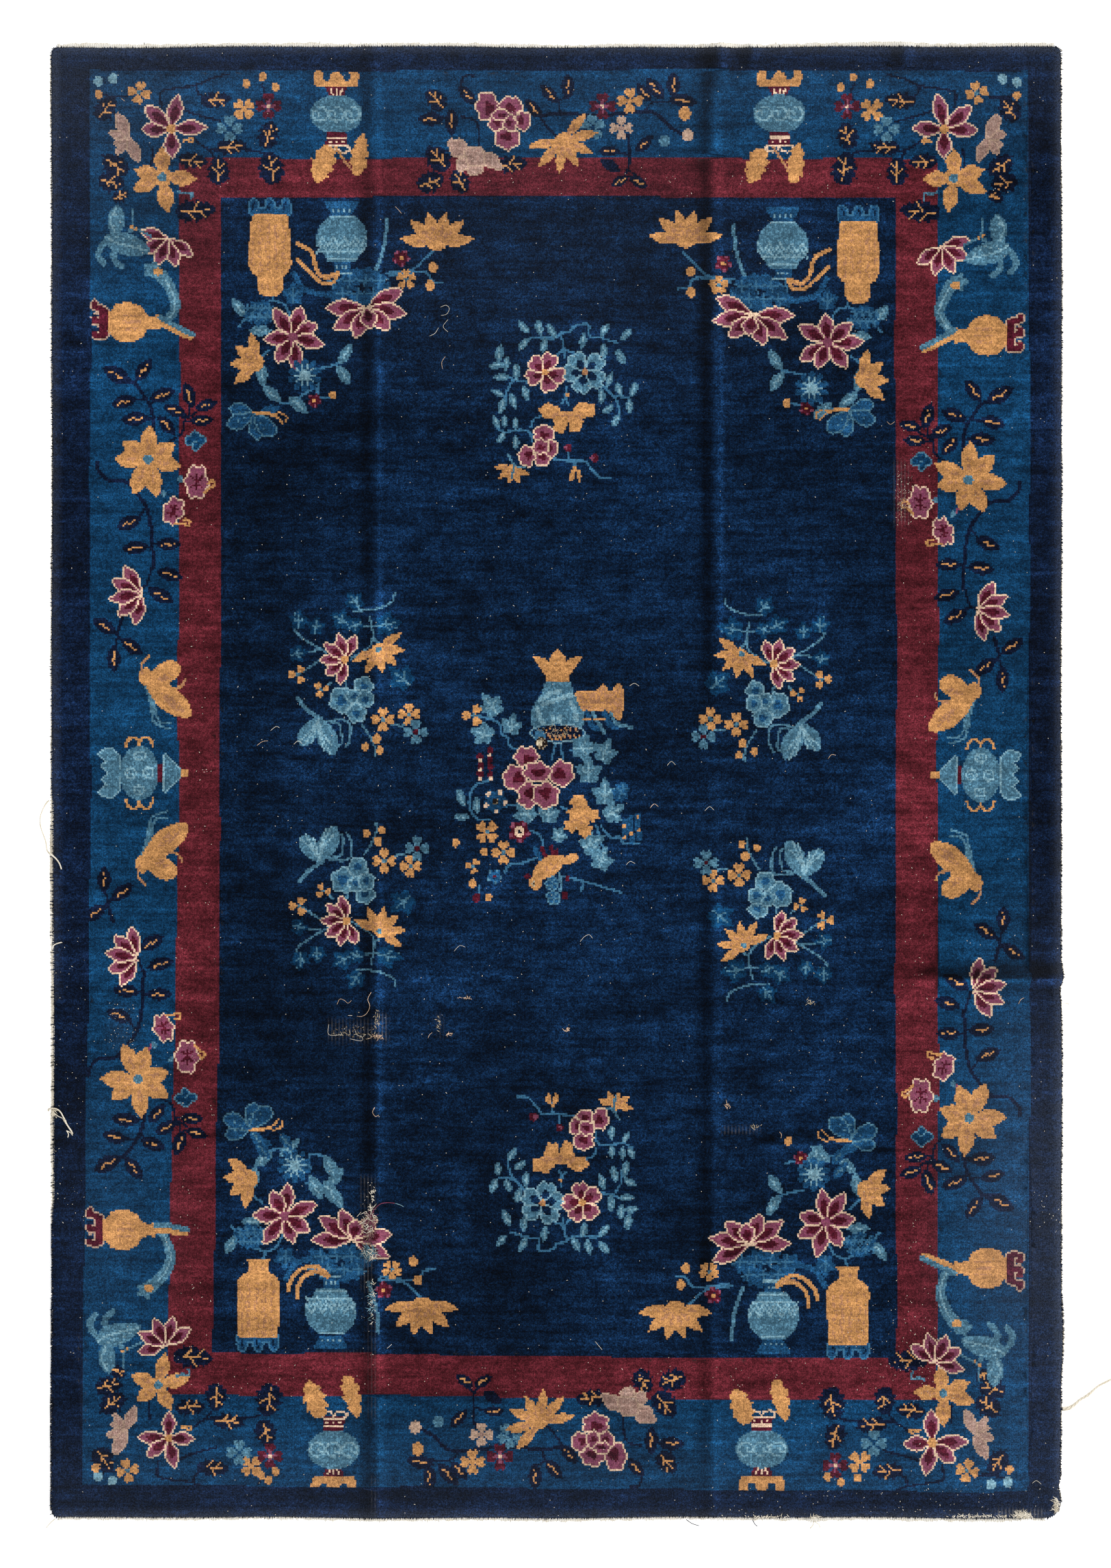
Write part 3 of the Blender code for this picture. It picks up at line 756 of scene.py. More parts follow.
def tall_vase(px, py, turn=0, size=1.0, flip=1, pointed=1):
    """A tall mottled gold vase on a scroll foot; (px, py) is the middle of its body."""
    p = Patch(px, py, 105 * size, turn, flip)
    p.u, p.v = p.u / size, p.v / size
    low = 10 * pointed
    foot = p.turned((-76 - low, 36), (-66 - low, 36))
    for u in (-29, 0, 29):
        foot |= p.disc(u, -82 - low, 14, 26)
    p.tie(foot, MID, STEEL)
    for u in (-28, 0, 28):
        p.tie(p.curve([(u - 1, -88 - low), (u + 3, -82 - low), (u + 2, -76 - low)], 1.0), FIELD)
    flat = ((-71, 30), (-68, 36), (0, 38), (24, 39), (34, 36), (44, 26), (48, 17), (66, 17), (67, 22),
            (72, 22))
    sharp = ((-76, 28), (-73, 33), (-34, 37), (16, 39), (31, 31), (37, 23), (60, 23), (68, 17), (73, 7))
    p.tie(p.turned(*(sharp if pointed else flat)), GOLD)
    worn = p.turned((-68, 29), (14, 35), (28, 28)) & (np.sin(p.u / 2.3 + 0.6 * np.sin(p.v / 9)) > -0.1)
    p.tie(worn & (np.sin(p.v / 4.3 + 0.7 * p.u) > -0.55), TAN)
    p.tie(p.turned((50, 17), (58, 17)) & (np.sin(p.u / 2.0) > 0), TAN)


def round_vase(px, py, turn=0, size=1.0, flip=1):
    """A round light vase with a double zigzag; (px, py) is the middle of its body."""
    p = Patch(px, py, 96 * size, turn, flip)
    p.u, p.v = p.u / size, p.v / size
    p.tie(p.turned((-70, 31), (-64, 30), (-50, 21), (-44, 17)), MID)
    for u in (-15, -5, 5, 15):
        p.tie(p.disc(u, -53, 5), PALE)
    p.tie(p.turned((-43, 22), (-37, 28), (-26, 40), (-8, 46), (8, 46), (22, 38), (28, 31), (36, 28),
                   (41, 24)), LIGHT)
    p.tie(p.line([(-20, -41), (20, -41)], 1.1), PALE)
    zig = [(u, 12 if k % 2 else -4) for k, u in enumerate(np.linspace(-45, 45, 10))]
    p.tie(p.line(zig, 1.15) | p.line([(u, v + 12) for u, v in zig], 1.05), PALE)
    p.tie(p.line([(-38, 22), (38, 22)], 1.1) | p.line([(-26, 35), (26, 35)], 1.1), PALE)
    p.tie(p.turned((41, 15), (60, 15)), MID)
    p.tie(p.disc(-8, 50, 5) | p.disc(0, 50, 5) | p.disc(8, 50, 5), PALE)
    p.tie(p.line([(-17, 61), (17, 61)], 1.3), PALE)


def arched_leaves(px, py, turn=0, flip=1):
    """Two arched gold leaves that spring from a vase's mouth."""
    p = Patch(px, py, 64, turn, flip)
    p.tie(p.curve([(40, -6), (18, -14), (-4, -5), (-14, 12), (-15, 31)], 2.2), GOLD)
    p.tie(p.curve([(39, -10), (18, -24), (-8, -20), (-27, 0), (-33, 19)], 2.2), GOLD)
    p.tie(p.curve([(34, -10), (16, -18), (0, -12)], 0.9), TAN)


def horns(px, py, turn=0, flip=1):
    """Two bent gold leaves that spring from a vase's mouth."""
    p = Patch(px, py, 64, turn, flip)
    p.tie(p.curve([(36, -16), (12, -23), (-2, -10), (-10, 20), (-24, 30), (-38, 37)], 2.2), GOLD)
    p.tie(p.curve([(36, -19), (27, -33), (6, -33), (-10, -19), (-22, -8), (-37, 7)], 2.0), GOLD)
    p.tie(p.curve([(32, -20), (14, -28), (0, -16)], 0.9), TAN)


def foliage(px, py, turn=0, size=110, flip=1, tall=60):
    """A dark mass of leaves with lighter twigs in it."""
    p = Patch(px, py, 0.62 * max(size, tall), turn, flip)
    for k in range(9):
        a = 2.4 * k
        p.tie(p.blob(0.42 * size * math.sin(a) * (0.4 + 0.07 * k), 0.30 * tall * math.cos(a), 0.30 * size,
                     0.42 * tall, 6, k, 0.2), MID)
    for k in range(8):
        u, v = 0.11 * size * (k - 3.5), 0.17 * tall * (-1) ** k
        p.tie(p.line([(u - 0.1 * size, v + 2), (u, v), (u + 0.1 * size, v + 5)], 1.0), STEEL)
        p.tie(p.line([(u, v + 0.16 * tall), (u, v), (u - 4, v - 0.15 * tall)], 1.0), STEEL)


def cornflower(px, py, turn=0, size=54, eye=LIGHT):
    """A ring of dark blue petals with a spiky light heart."""
    p = Patch(px, py, 0.7 * size, turn)
    for k in range(10):
        p.tie(p.leaf(0, 0, 36 * k, 0.52 * size, 0.19 * size, 0.78, 0.6), MID)
        a = math.radians(36 * k + 18)
        p.tie(p.line([(0, 0), (0.32 * size * math.sin(a), 0.32 * size * math.cos(a))], 1.2), eye)
    p.tie(p.disc(0, 0, 0.32 * size), eye)


def wild(px, py, turn=0, size=30, yarn=WINE, eye=GOLD, tip=MAUVE):
    """A little wine flower with mauve tips."""
    p = Patch(px, py, 0.8 * size, turn)
    for k in range(5):
        a = 2 * math.pi * k / 5 + 0.5
        p.tie(p.disc(0.30 * size * math.sin(a), 0.30 * size * math.cos(a), 0.40 * size), yarn)
        p.tie(p.disc(0.40 * size * math.sin(a), 0.40 * size * math.cos(a), 0.18 * size), tip)
    p.tie(p.disc(0, 0, 0.24 * size), eye)


def blue_leaf(px, py, turn=0, size=36, yarn=LIGHT, vein=PALE, wide=0.52):
    """A light leaf with a pale vein."""
    leaf(px, py, turn, 1.02 * size, yarn, vein, wide)


def jagged(px, py, turn=0, size=46, flip=1, yarn=LIGHT, vein=PALE, wide=0.85):
    """A jagged light leaf."""
    toothed(px, py, turn, size, yarn, vein, wide, 3, flip)


def ivy(px, py, turn=0, size=40, flip=1, yarn=LIGHT, vein=PALE):
    """A leaf of five pointed lobes, pale in its middle."""
    p = Patch(px, py, 0.7 * size, turn, flip)
    for way, share in ((0, 0.66), (62, 0.52), (-58, 0.54), (128, 0.40), (-130, 0.38)):
        p.tie(p.leaf(0, -0.08 * size, way, share * size, 0.34 * size, 0.5, 1.0), yarn)
    p.tie(p.line([(0, -0.3 * size), (0, 0.3 * size)], 1.1)
          | p.line([(-0.2 * size, 0.08 * size), (0, -0.08 * size), (0.2 * size, 0.1 * size)], 1.0), vein)


def field_butterfly(px, py, turn=0, flip=1):
    """Dark blue wings with light edges, a gold body and feelers; (px, py) is where the wings meet."""
    p = Patch(px, py, 80, turn, flip)
    p.u, p.v = p.u / 0.88, p.v / 0.8
    for way, long, wide in ((-72, 50, 26), (-118, 58, 30), (172, 56, 26), (140, 62, 32)):
        p.tie(p.leaf(0, 2, way, long, wide, 0.66, 0.6), MID, LIGHT)
    for way, long in ((-80, 40), (-112, 46), (178, 42), (146, 50)):
        a = math.radians(way)
        for share in (0.45, 0.75):
            p.tie(p.disc(share * long * math.sin(a), share * long * math.cos(a), 4.5), LIGHT)
    p.tie(p.leaf(-4, 6, 96, 42, 11, 0.5, 0.7), GOLD)
    p.tie(p.curve([(34, 0), (52, 4), (66, -4), (66, -14)], 1.2)
          | p.curve([(36, -1), (48, -6), (58, -18)], 1.2), GOLD)


def moth(px, py, turn=0, flip=1):
    """A light butterfly with its wings half closed, and long feelers."""
    p = Patch(px, py, 84, turn, flip)
    p.tie(p.leaf(4, 22, 212, 62, 32, 0.62, 0.6) | p.leaf(2, 22, 156, 76, 36, 0.56, 0.7), LIGHT)
    p.tie(p.curve([(8, 18), (-14, 32), (-34, 54)], 2.2), LIGHT)
    for end in ((-32, -24), (-22, -30), (-8, -26), (14, -40), (24, -46), (28, -30)):
        p.tie(p.curve([(3, 16), (0.4 * end[0], 0.3 * end[1]), end], 1.0), PALE)
    p.tie(p.curve([(26, 10), (40, 8), (44, -4), (46, -26), (38, -32)], 1.3), LIGHT)
    p.tie(p.curve([(18, 12), (44, 16), (60, 8), (60, -20), (52, -34)], 1.3), LIGHT)


def bunch(px, py, turn=0, size=84, flip=1):
    """Petals of a blue flower, outlined light, dark in their hearts."""
    p, half = Patch(px, py, 0.72 * size, turn, flip), 0.5 * size
    for k, (u, v, wide, tall) in enumerate(BUNCH):
        p.tie(p.blob(u * half, v * half, wide * half, tall * half, 5, k, 0.1), LIGHT, PALE)
        p.tie(p.blob(u * half, v * half - 1, 0.46 * wide * half, 0.46 * tall * half, 3, k), MID)


def rosette(px, py, turn=0, size=60, fill=MAUVE, rim=CREAM, heart=WINE, eye=GOLD, count=5):
    """Outlined, notched petals about an eye."""
    p = Patch(px, py, 0.75 * size, turn)
    for way, petal in petals(p, [360 * k / count + 7 * math.sin(2.1 * k + px) for k in range(count)],
                             0.52 * size, 1.95 * size / count):
        p.tie(petal, fill, rim)
        p.tie(p.leaf(0, 0, way, 0.34 * size, 0.95 * size / count, 0.62, 0.7), heart)
    p.tie(p.disc(0, 0, 0.17 * size), eye)


MOTIFS = {made.__name__: made for made in (
    star, corner_star, lotus, gold_star, corner_gold, gold_fan, peony, small_peony, great_peony, blossom,
    pale_flower, gold_cap, cloud, plum, cross_plum, berry, leaf, toothed, border_vase, gold_vase, pot, bud,
    hook, outlined, gold_butterfly, light_butterfly, tall_vase, round_vase, arched_leaves, horns, foliage,
    cornflower, wild, blue_leaf, jagged, ivy, field_butterfly, moth, bunch, rosette)}
NO_FLIP = (plum, cross_plum, berry, leaf, bud, outlined, cornflower, wild, blue_leaf, rosette)


def value(word):
    """What a word of the rows means: a yarn's number, none or a number."""
    return YARNS.index(word) if word in YARNS else None if word == "none" else float(word)


def tie(rows, start=(0, 0), *spots):
    """Ties the stems and motifs of written rows, then once more, mirrored, for each spot.

    A row is "stem yarn wide=knots: px,py px,py ..." with a / between stems, or a kind and
    what differs, then px,py,turn,size of each.  A spot is x, y, across, up; start and the
    spots are the same point of the group."""
    for x, y, over, up in ((*start, 1, 1), *spots):
        for line in rows.strip().splitlines():
            head, groups = line.split(":")
            kind, *words = head.split()
            for group in groups.split("/"):
                group = [[float(w) for w in place.split(",")] for place in group.split()]
                for place in group:
                    place[:2] = x + over * (place[0] - start[0]), y + up * (place[1] - start[1])
                if kind == "stem":
                    stem(YARNS.index(words[0]), *[tuple(place) for place in group],
                         wide=float(words[1].split("=")[1]) if len(words) > 1 else STEM_WIDTH)
                    continue
                for place in group:
                    tie_motif(kind, words, place, over, up)


def tie_motif(kind, words, place, over=1, up=1):
    """Ties one motif, mirrored across or end for end where it is -1."""
    named = {k: value(v) for k, v in (word.split("=") for word in words)}
    if "count" in named:
        named["count"] = int(named["count"])
    px, py, *rest = place
    turn = rest[0] if rest else 0
    if MOTIFS[kind] not in NO_FLIP:
        named["flip"] = named.get("flip", 1) * over * up
    if len(rest) > 1:
        named["size"] = rest[1]
    MOTIFS[kind](px, py, (turn if up > 0 else 180 - turn) * over, **named)


def tie_four(rows):
    """Ties motifs that stand in four places, one kind in a row.

    A row is "kind: turn,size | upper left | lower left | upper right | lower right", each
    of them px,py; those below and at the right are mirrored."""
    for line in rows.strip().splitlines():
        head, spots = line.split(":")
        kind, *words = head.split()
        shape, *places = [part.strip() for part in spots.split("|")]
        for place, over, up in zip(places, (1, 1, -1, -1), (1, -1, 1, -1)):
            for one in place.split():
                tie_motif(kind, words, [float(w) for w in (one + "," + shape).split(",")], over, up)


# ---------------------------------------------------------------- bands of the ground
# From outside in: the navy guard, the blue border, the red band and the field.  Their
# edges are the picture's, and wander as woven ones do.
FIRST_WAVE, SECOND_WAVE = 170, 61     # millimetres that an edge's waves stretch over
EDGE_STRAY, EDGE_SAG = 2.4, 6         # how far the waves go, and pixels that the bottom sags
HALF_ACROSS, HALF_ALONG = 900, 1300   # millimetres over which an edge sags and leans in full


def band(left, top, right, bottom, yarn, seed, lean=13):
    """Fills a band's rectangle; its left side leans outward and its bottom sags."""
    def wave(t, k):
        """How far edge k strays at a place t along it."""
        return EDGE_STRAY * (0.6 * np.sin(t / FIRST_WAVE + 2.1 * k + seed)
                             + 0.4 * np.sin(t / SECOND_WAVE + 1.3 * k + seed))

    over, up = np.meshgrid(across, along)
    l, r = ((px - MIDDLE_PX[0]) * PIXEL_MM for px in (left, right))
    t, b = ((MIDDLE_PX[1] - py) * PIXEL_MM for py in (top, bottom))
    l = l - PIXEL_MM * lean * np.clip(-up / HALF_ALONG, 0, 1)
    b = b - PIXEL_MM * EDGE_SAG * np.clip(over / HALF_ACROSS, -1, 1)
    chart[(over > l + wave(up, 1)) & (over < r + wave(up, 2))
          & (up < t + wave(over, 3)) & (up > b + wave(over, 4))] = yarn


band(132, 103, 1504, 2175, BLUE, seed=0.3)
guard = chart == OUTER
band(262, 232, 1370, 2042, RED, seed=1.1, lean=19)
band(323, 289, 1309, 1981, FIELD, seed=2.0)

# ---------------------------------------------------------------- corners of the border
# A star, a gold flower and pale petals on dark leaves, four times with small differences.
tie_four("""
corner_gold: 0,112 | 238,260 | | 1393,261
corner_gold: 0,104 | | | | 1378,2036
gold_star count=5: 28,100 | | 232,2023
""")
tie("""
stem ink: 146,138 166,142 185,142 / 237,157 235,136 254,130 287,125 310,115 335,109
stem ink: 287,125 291,138 306,144 / 258,152 277,165 322,178 / 383,123 387,136 381,150 368,157
stem ink: 285,205 306,219 335,219 360,211 / 306,219 318,236 / 335,219 381,223 393,236
stem ink: 224,219 222,244 / 150,228 189,248
toothed: 156,159,34,50
toothed wide=0.56: 316,147,85,56 283,236,95,52 339,215,85,54 287,309,85,72
toothed: 170,243,125,50 164,267,100,48 177,287,60,30 320,250,0,50 397,246,-10,60 393,198,15,50
hook: 277,207,60,16
pale_flower: 188,202,0,95
stem light wide=1.4: 262,281 271,284 281,283 280,292
""", (251, 189), (1380, 190, -1, 1), (247, 2103, 1, -1), (1362, 2108, -1, -1))

# ---------------------------------------------------------------- sides of the border
# Leafy stems, lotuses, plums and butterflies, then the plumes, pots and vases.
tie("""
stem ink wide=2: 225,632 225,613 219,592 208,574 197,561 185,555
stem ink: 197,561 206,550 / 219,592 234,580 / 215,584 195,586 / 225,613 200,612
stem ink: 247,647 266,634 270,617 277,605 277,588 / 258,602 272,612 300,594 / 270,617 290,616
stem ink wide=2: 142,676 144,688 160,703 185,705 204,726 216,745 222,776 225,830
stem ink: 185,705 204,695 / 212,745 200,762 / 223,800 200,801 / 224,796 245,796
stem ink: 201,863 214,856 219,843 224,826 / 214,856 232,868
stem ink wide=2: 180,902 175,917 173,930 184,939 192,946
stem ink: 173,930 160,918 / 173,930 168,950
leaf: 172,549,118,52 210,542,35,44 238,578,70,44 182,588,76,42 198,613,85,46 244,622,138,40
leaf: 277,579,163,44 302,593,75,38 257,601,115,40 295,615,87,38 189,765,68,44 199,801,83,44
leaf: 247,796,90,42 249,840,105,44 236,871,118,46 153,915,122,44 193,945,127,44 167,963,0,44
outlined: 286,645,0,36
stem mauve: 230,709 236,722
berry yarn=light: 265,701,0,12 240,722,0,12
gold_star: 217,672,5,118
bud: 288,705,0,60 254,747,20,50
hook: 307,713,15,26 268,766,60,26
""", (217, 672), (203, 1577, 1, -1), (1415, 702, -1, 1), (1416, 1634, -1, -1))
tie_four("""
corner_star: 0,114 | 251,189 | | 1380,190 | 1362,2108
corner_star: 0,98 | | 247,2101
plum eye=gold: 45,42 | 357,161 | 368,2142 | 1274,162 | 1256,2136
cross_plum: 0,46 | 393,156 | 395,2127 | 1238,157 | 1220,2141
plum yarn=light eye=blue: 0,46 | 336,189 | 350,2122 | 1295,190 | 1277,2108
berry: 0,16 | 360,123 384,113 403,128 | 383,2156 393,2163 403,2150
berry: 0,16 | | | 1271,124 1247,114 1228,129 | 1253,2160 1229,2167 1209,2158
lotus even=1 count=5 spread=138: -100,114 | 207,868 | 201,1400 | 1429,891 | 1423,1446
gold_butterfly: 0 | 243,1007 | 238,1245 | 1394,1028 | 1396,1272
lotus even=1 count=5 spread=160: 205,106 | 247,350 | 243,1965 | 1376,362 | 1366,1990
light_butterfly: 0 | 180,350 | 167,1957 | 1449,363 | 1444,1976
berry yarn=pale: 0,20 | 145,119 166,115 | 144,2158 165,2164 | 1486,121 1465,116 | 1448,2169 1472,2165
plum: 12,42 | 204,136 | 187,2149 | 1427,137 | 1413,2149
berry: 60,17 | 145,139 | 141,2145 | 1486,141 | 1475,2147
""")
smoke(((222,394),(240,408),(252,428),(257,450),(248,466),(238,474)), (232, 398))
smoke(((1402,412),(1388,420),(1378,440),(1372,458),(1382,476),(1392,486)), (1396,418))
smoke(((212,1886),(228,1874),(244,1856),(250,1836),(244,1814),(236,1800)), (218,1882))
smoke(((1408,1940),(1392,1930),(1380,1910),(1374,1888),(1380,1864),(1390,1852)), (1398,1934))
tie("""
gold_vase spout=26: 193,472,90
gold_vase spout=4: 186,1797,90
gold_vase flip=-1 spout=26: 1436,491,-90
gold_vase spout=22: 1436,1853,-90
pot: 204,1130,90 1433,1133,-90
border_vase: 492,168,180 1139,167,180 488,2118,0 1113,2117,0
toothed yarn=gold vein=none wide=0.6: 472,241,200,70 1105,243,200,66
toothed yarn=gold vein=none wide=0.42: 526,227,8,76 1163,240,8,74
stem tan: 491,217 503,235 514,249 / 1130,217 1142,235 1152,250
toothed yarn=gold vein=none wide=0.6: 460,2044,-20,70 1083,2054,-20,68
toothed yarn=gold vein=none wide=0.42: 515,2040,165,78 1141,2046,165,76
""")

# ---------------------------------------------------------------- middle of the border's top and bottom
# A peony, a gold fan and a tan flower among dark leaves, turned end for end below.
tie("""
stem ink: 692,111 679,112 674,127 679,145 / 674,172 697,180 701,215
stem ink wide=2: 790,170 820,167 850,169 880,170 940,164 962,170 977,185 995,196
stem ink: 790,172 800,187 817,205 / 820,167 817,150 830,142 / 917,197 920,220 919,245 910,262
stem ink: 919,250 935,262 / 918,228 902,222 / 941,164 956,150 990,152
leaf: 631,175,90,44 660,179,0,44 683,140,-40,40 780,160,-40,40 803,138,-40,40 830,127,0,44
leaf: 941,136,-40,38 957,130,-40,46 984,124,0,44 998,148,100,46 941,212,45,38 890,222,90,34
leaf: 906,266,60,34 933,267,120,34
leaf vein=ink: 892,243,120,36
toothed: 637,147,-40,46 640,232,-40,54 630,267,70,50 672,266,-30,44
toothed wide=0.56: 748,241,85,56
cross_plum: 881,156,0,48
plum count=4 eye=gold: 921,148,0,46
plum yarn=light count=5 eye=blue: 866,187,0,46
plum yarn=sand eye=rose: 908,188,0,42
berry: 1001,167,0,25
berry yarn=sand: 1005,199,0,24
berry yarn=light: 971,207,20,22
blossom: 691,233,-55,104
gold_fan count=7 spread=219: 833,224,150,116
peony: 736,178,0,98
""", (736, 178), (876, 2106, -1, -1))

# ---------------------------------------------------------------- corners of the field
# Two vases in a dark mass of leaves, with flowers round them and a butterfly.
chart[guard] = OUTER           # nothing is tied past the blue band
tie("""
stem steel: 397,430 398,440 372,452 350,478 / 398,440 416,446 425,465
stem light wide=2: 566,322 562,360 550,396
stem mid wide=3: 430,400 446,424 480,432
stem steel: 565,400 590,398 605,394 620,380 640,360 / 570,404 620,398 632,412 648,414
stem steel: 372,528 385,560 400,583 420,590 440,580 466,562 / 466,562 466,582 486,580
stem steel: 460,540 490,534 505,524 / 395,512 376,528
ivy yarn=mid vein=steel: 429,432,0,44
blue_leaf: 350,451,-35,36 381,484,90,36 383,547,-10,40 398,576,130,38 436,592,130,40 505,518,30,38
blue_leaf: 503,549,-35,38
blue_leaf yarn=mid vein=mid: 395,600,75,34
""", (428, 493), (416, 1776, 1, -1), (1210, 502, -1, 1), (1207, 1786, -1, -1))
tie_four("""
foliage tall=70: 0,124 | 529,422 | 498,1844 | 1110,430 | 1120,1852
foliage tall=46: 0,60 | 381,459 | 366,1806 | 1262,466 | 1256,1818
tall_vase: 180,1 | 395,376 | | 1254,386
tall_vase pointed=0: 180,1 | | 378,1897 | | 1239,1908
round_vase: 180,1 | 500,351 | 484,1915 | 1144,360 | 1130,1921
horns: 0 | 465,387 | | 1181,396
arched_leaves: 0 | | 448,1870 | | 1168,1884
gold_fan count=6 spread=164: 0,118 | 639,336 | 617,1926 | 1002,332 | 987,1932
wild: 0,32 | 587,378 | 561,1885 | 1057,386 | 1042,1892
plum count=5 eye=light: 0,36 | 594,409 | 573,1855 | 1050,418 | 1036,1858
berry: 0,19 | 633,392 629,418 | 604,1843 611,1870 | 1009,398 1010,428 | 1002,1853 995,1877
lotus count=7 spread=206: 167,146 | 538,460 | 518,1802 | 1098,471 | 1093,1808
star count=7: 10,112 | 428,493 | 416,1776 | 1210,502 | 1207,1786
gold_fan count=4 spread=118 back=0.3: -72,100 | 354,524 | 345,1729 | 1281,548 | 1284,1745
wild: 0,26 | 460,586 | | 1178,598 | 1170,1692
berry: 0,16 | 487,578 | | 1150,590 | 1152,1667
blue_leaf yarn=mid vein=light: 40,34 | | 376,1663 418,1667 384,1680 | | 1225,1690 1228,1710
blue_leaf: 30,44 | | 484,1706 462,1735 484,1742 | | 1190,1690
cornflower eye=pale: 0,60 | 446,549 | 431,1703 | 1186,568 | 1189,1716
field_butterfly: 0 | 372,607 | 366,1648 | 1240,602 | 1243,1664
""")

# ---------------------------------------------------------------- sprays at the field's sides
# A lotus, a blue flower and a moth on light stems, in four places.
tie("""
stem light wide=1.15: 517,893 547,891 572,881 577,868 / 499,904 502,913 538,916 581,917
stem light wide=1.15: 541,902 544,940 513,963 / 433,896 434,925 477,954 / 430,956 469,950
stem light wide=1.15: 544,934 552,938 554,949 / 477,964 466,967 437,986 / 484,997 474,1006
stem light wide=1.15: 505,996 508,1016 / 530,1060 541,1077 548,1093 548,1106
stem light wide=1.15: 574,1059 588,1061 597,1054 598,1049
ivy yarn=blue vein=light: 519,880,-35,40 437,908,0,38 462,917,5,36 435,956,80,36 588,992,-50,54
ivy yarn=blue vein=light: 500,907,-60,42 520,914,-110,36 565,913,80,50
lotus even=1 count=6 spread=190 eye=gold: 505,964,-72,92
gold_fan count=6 spread=190 back=0 eye=light: 553,949,150,88
bunch: 518,1025,0,84
plum count=3 eye=light: 435,986,30,34 470,1008,-40,28
moth: 463,1065
plum: 560,1052,0,42 598,1044,0,40
plum yarn=light eye=wine: 608,1070,0,44
berry: 551,1080,0,18 534,1092,0,15 556,1097,0,15
""", (518, 1025), (520, 1285, 1, -1), (1118, 1032, -1, 1), (1122, 1306, -1, -1))

# ---------------------------------------------------------------- sprays at the field's ends
# A spray of small flowers on twigs at the bottom, and again at the top.
tie("""
stem steel: 755,1602 772,1604 785,1618 793,1627 818,1628 845,1632 / 807,1613 808,1626
stem steel: 818,1628 818,1643
stem light: 872,1622 893,1619 900,1627 905,1636
stem steel: 870,1655 874,1670 890,1673 910,1670 923,1677 / 872,1677 868,1688 857,1693
stem steel: 818,1710 821,1720 820,1735 / 827,1712 822,1720
stem steel: 752,1682 743,1693 745,1710 752,1723 762,1733 770,1742 / 730,1720 752,1723
stem steel: 872,1742 890,1745 910,1752 / 908,1710 908,1727 898,1745
stem steel: 823,1780 825,1800 827,1813 813,1818 808,1825 788,1827 787,1810 772,1808 762,1805 745,1800
stem steel: 827,1815 837,1807 857,1807 872,1807 883,1798 / 803,1783 823,1790 / 835,1780 823,1793
blue_leaf: 894,1655,0,24 915,1662,35,22 894,1683,180,22 910,1685,180,22 923,1685,150,22
blue_leaf: 748,1687,30,24 760,1703,55,24 728,1708,0,24 722,1732,20,27 743,1732,-20,24 769,1723,0,26
blue_leaf: 757,1747,20,26 898,1715,-15,27 914,1708,15,27 920,1727,120,24 880,1727,-20,27
blue_leaf: 915,1750,90,26 893,1758,0,29 923,1767,80,24 908,1770,10,26 918,1785,10,29 741,1780,-25,29
blue_leaf: 766,1788,0,26 733,1812,40,24 765,1818,30,26 796,1803,10,26 842,1818,150,27
blue_leaf: 860,1822,170,27 883,1823,140,27 853,1797,10,26 883,1798,40,26
leaf yarn=gold vein=none wide=0.45: 802,1606,-4,20 812,1606,6,20
berry: 808,1616,0,8 819,1724,0,7
berry yarn=wine: 779,1632,0,16 818,1647,0,15
berry yarn=mauve: 783,1632,0,9 820,1647,0,8
gold_cap: 817,1693,0,102
gold_fan count=5 spread=160 back=0: 899,1617,14,58
stem light: 896,1622 900,1602
rosette fill=light rim=pale heart=field eye=tan: 793,1758,10,74
rosette: 851,1757,-10,68
small_peony: 857,1647,0,84
""", (823, 1758), (825, 544, -1, -1))

# ---------------------------------------------------------------- middle of the field
# A lidded jar on a stand and a bench, with peonies and a wreath of small flowers.
p = Patch(815, 1000, 90)
for side in (-1, 1):
    p.tie(p.shape((side * 10, 12), (side * 23, 16), (side * 45, 50), (side * 27, 48), (side * 12, 38)), GOLD)
p.tie(p.turned((-1, 22), (30, 22), (38, 16), (40, 14), (50, 13), (56, 7), (62, 1)), GOLD)
p = Patch(815, 1040, 110)
body = p.turned((-46, 30), (-34, 44), (-20, 48), (8, 46), (30, 30), (52, 23))
p.tie(body, LIGHT)
for stroke in ([(-26, 13), (0, 22), (28, 30)], [(-36, 5), (-33, -8), (-27, -21)],
               [(24, 16), (31, 2), (33, -15)],
               [(-8, -9), (-8, -21)], [(4, -9), (4, -21)], [(-30, 20), (-14, 32), (4, 36)]):
    p.tie(p.curve(stroke, 2.6) & body, PALE)
p.tie(p.disc(0, -39, 94, 30), MID, PALE)
grains = np.sin(p.u * 1.9 + 3 * np.sin(p.v * 1.7)) + np.sin(p.v * 2.3 + p.u * 0.7)
p.tie(p.disc(1, -39, 90, 27), INK)
p.tie(p.disc(1, -39, 88, 24) & (grains > 0.7), TAN)
p = Patch(876, 1024, 70)
bench = p.shape((-43, 15), (-4, 15), (3, 23), (8, 29), (14, 12), (24, 15), (34, 29), (42, 18), (39, -30),
                (32, -32), (14, -17), (-30, -16))
p.tie(bench, TAN, GOLD)
p.tie(p.line([(-36, -8), (24, -10)], 1.2), GOLD)
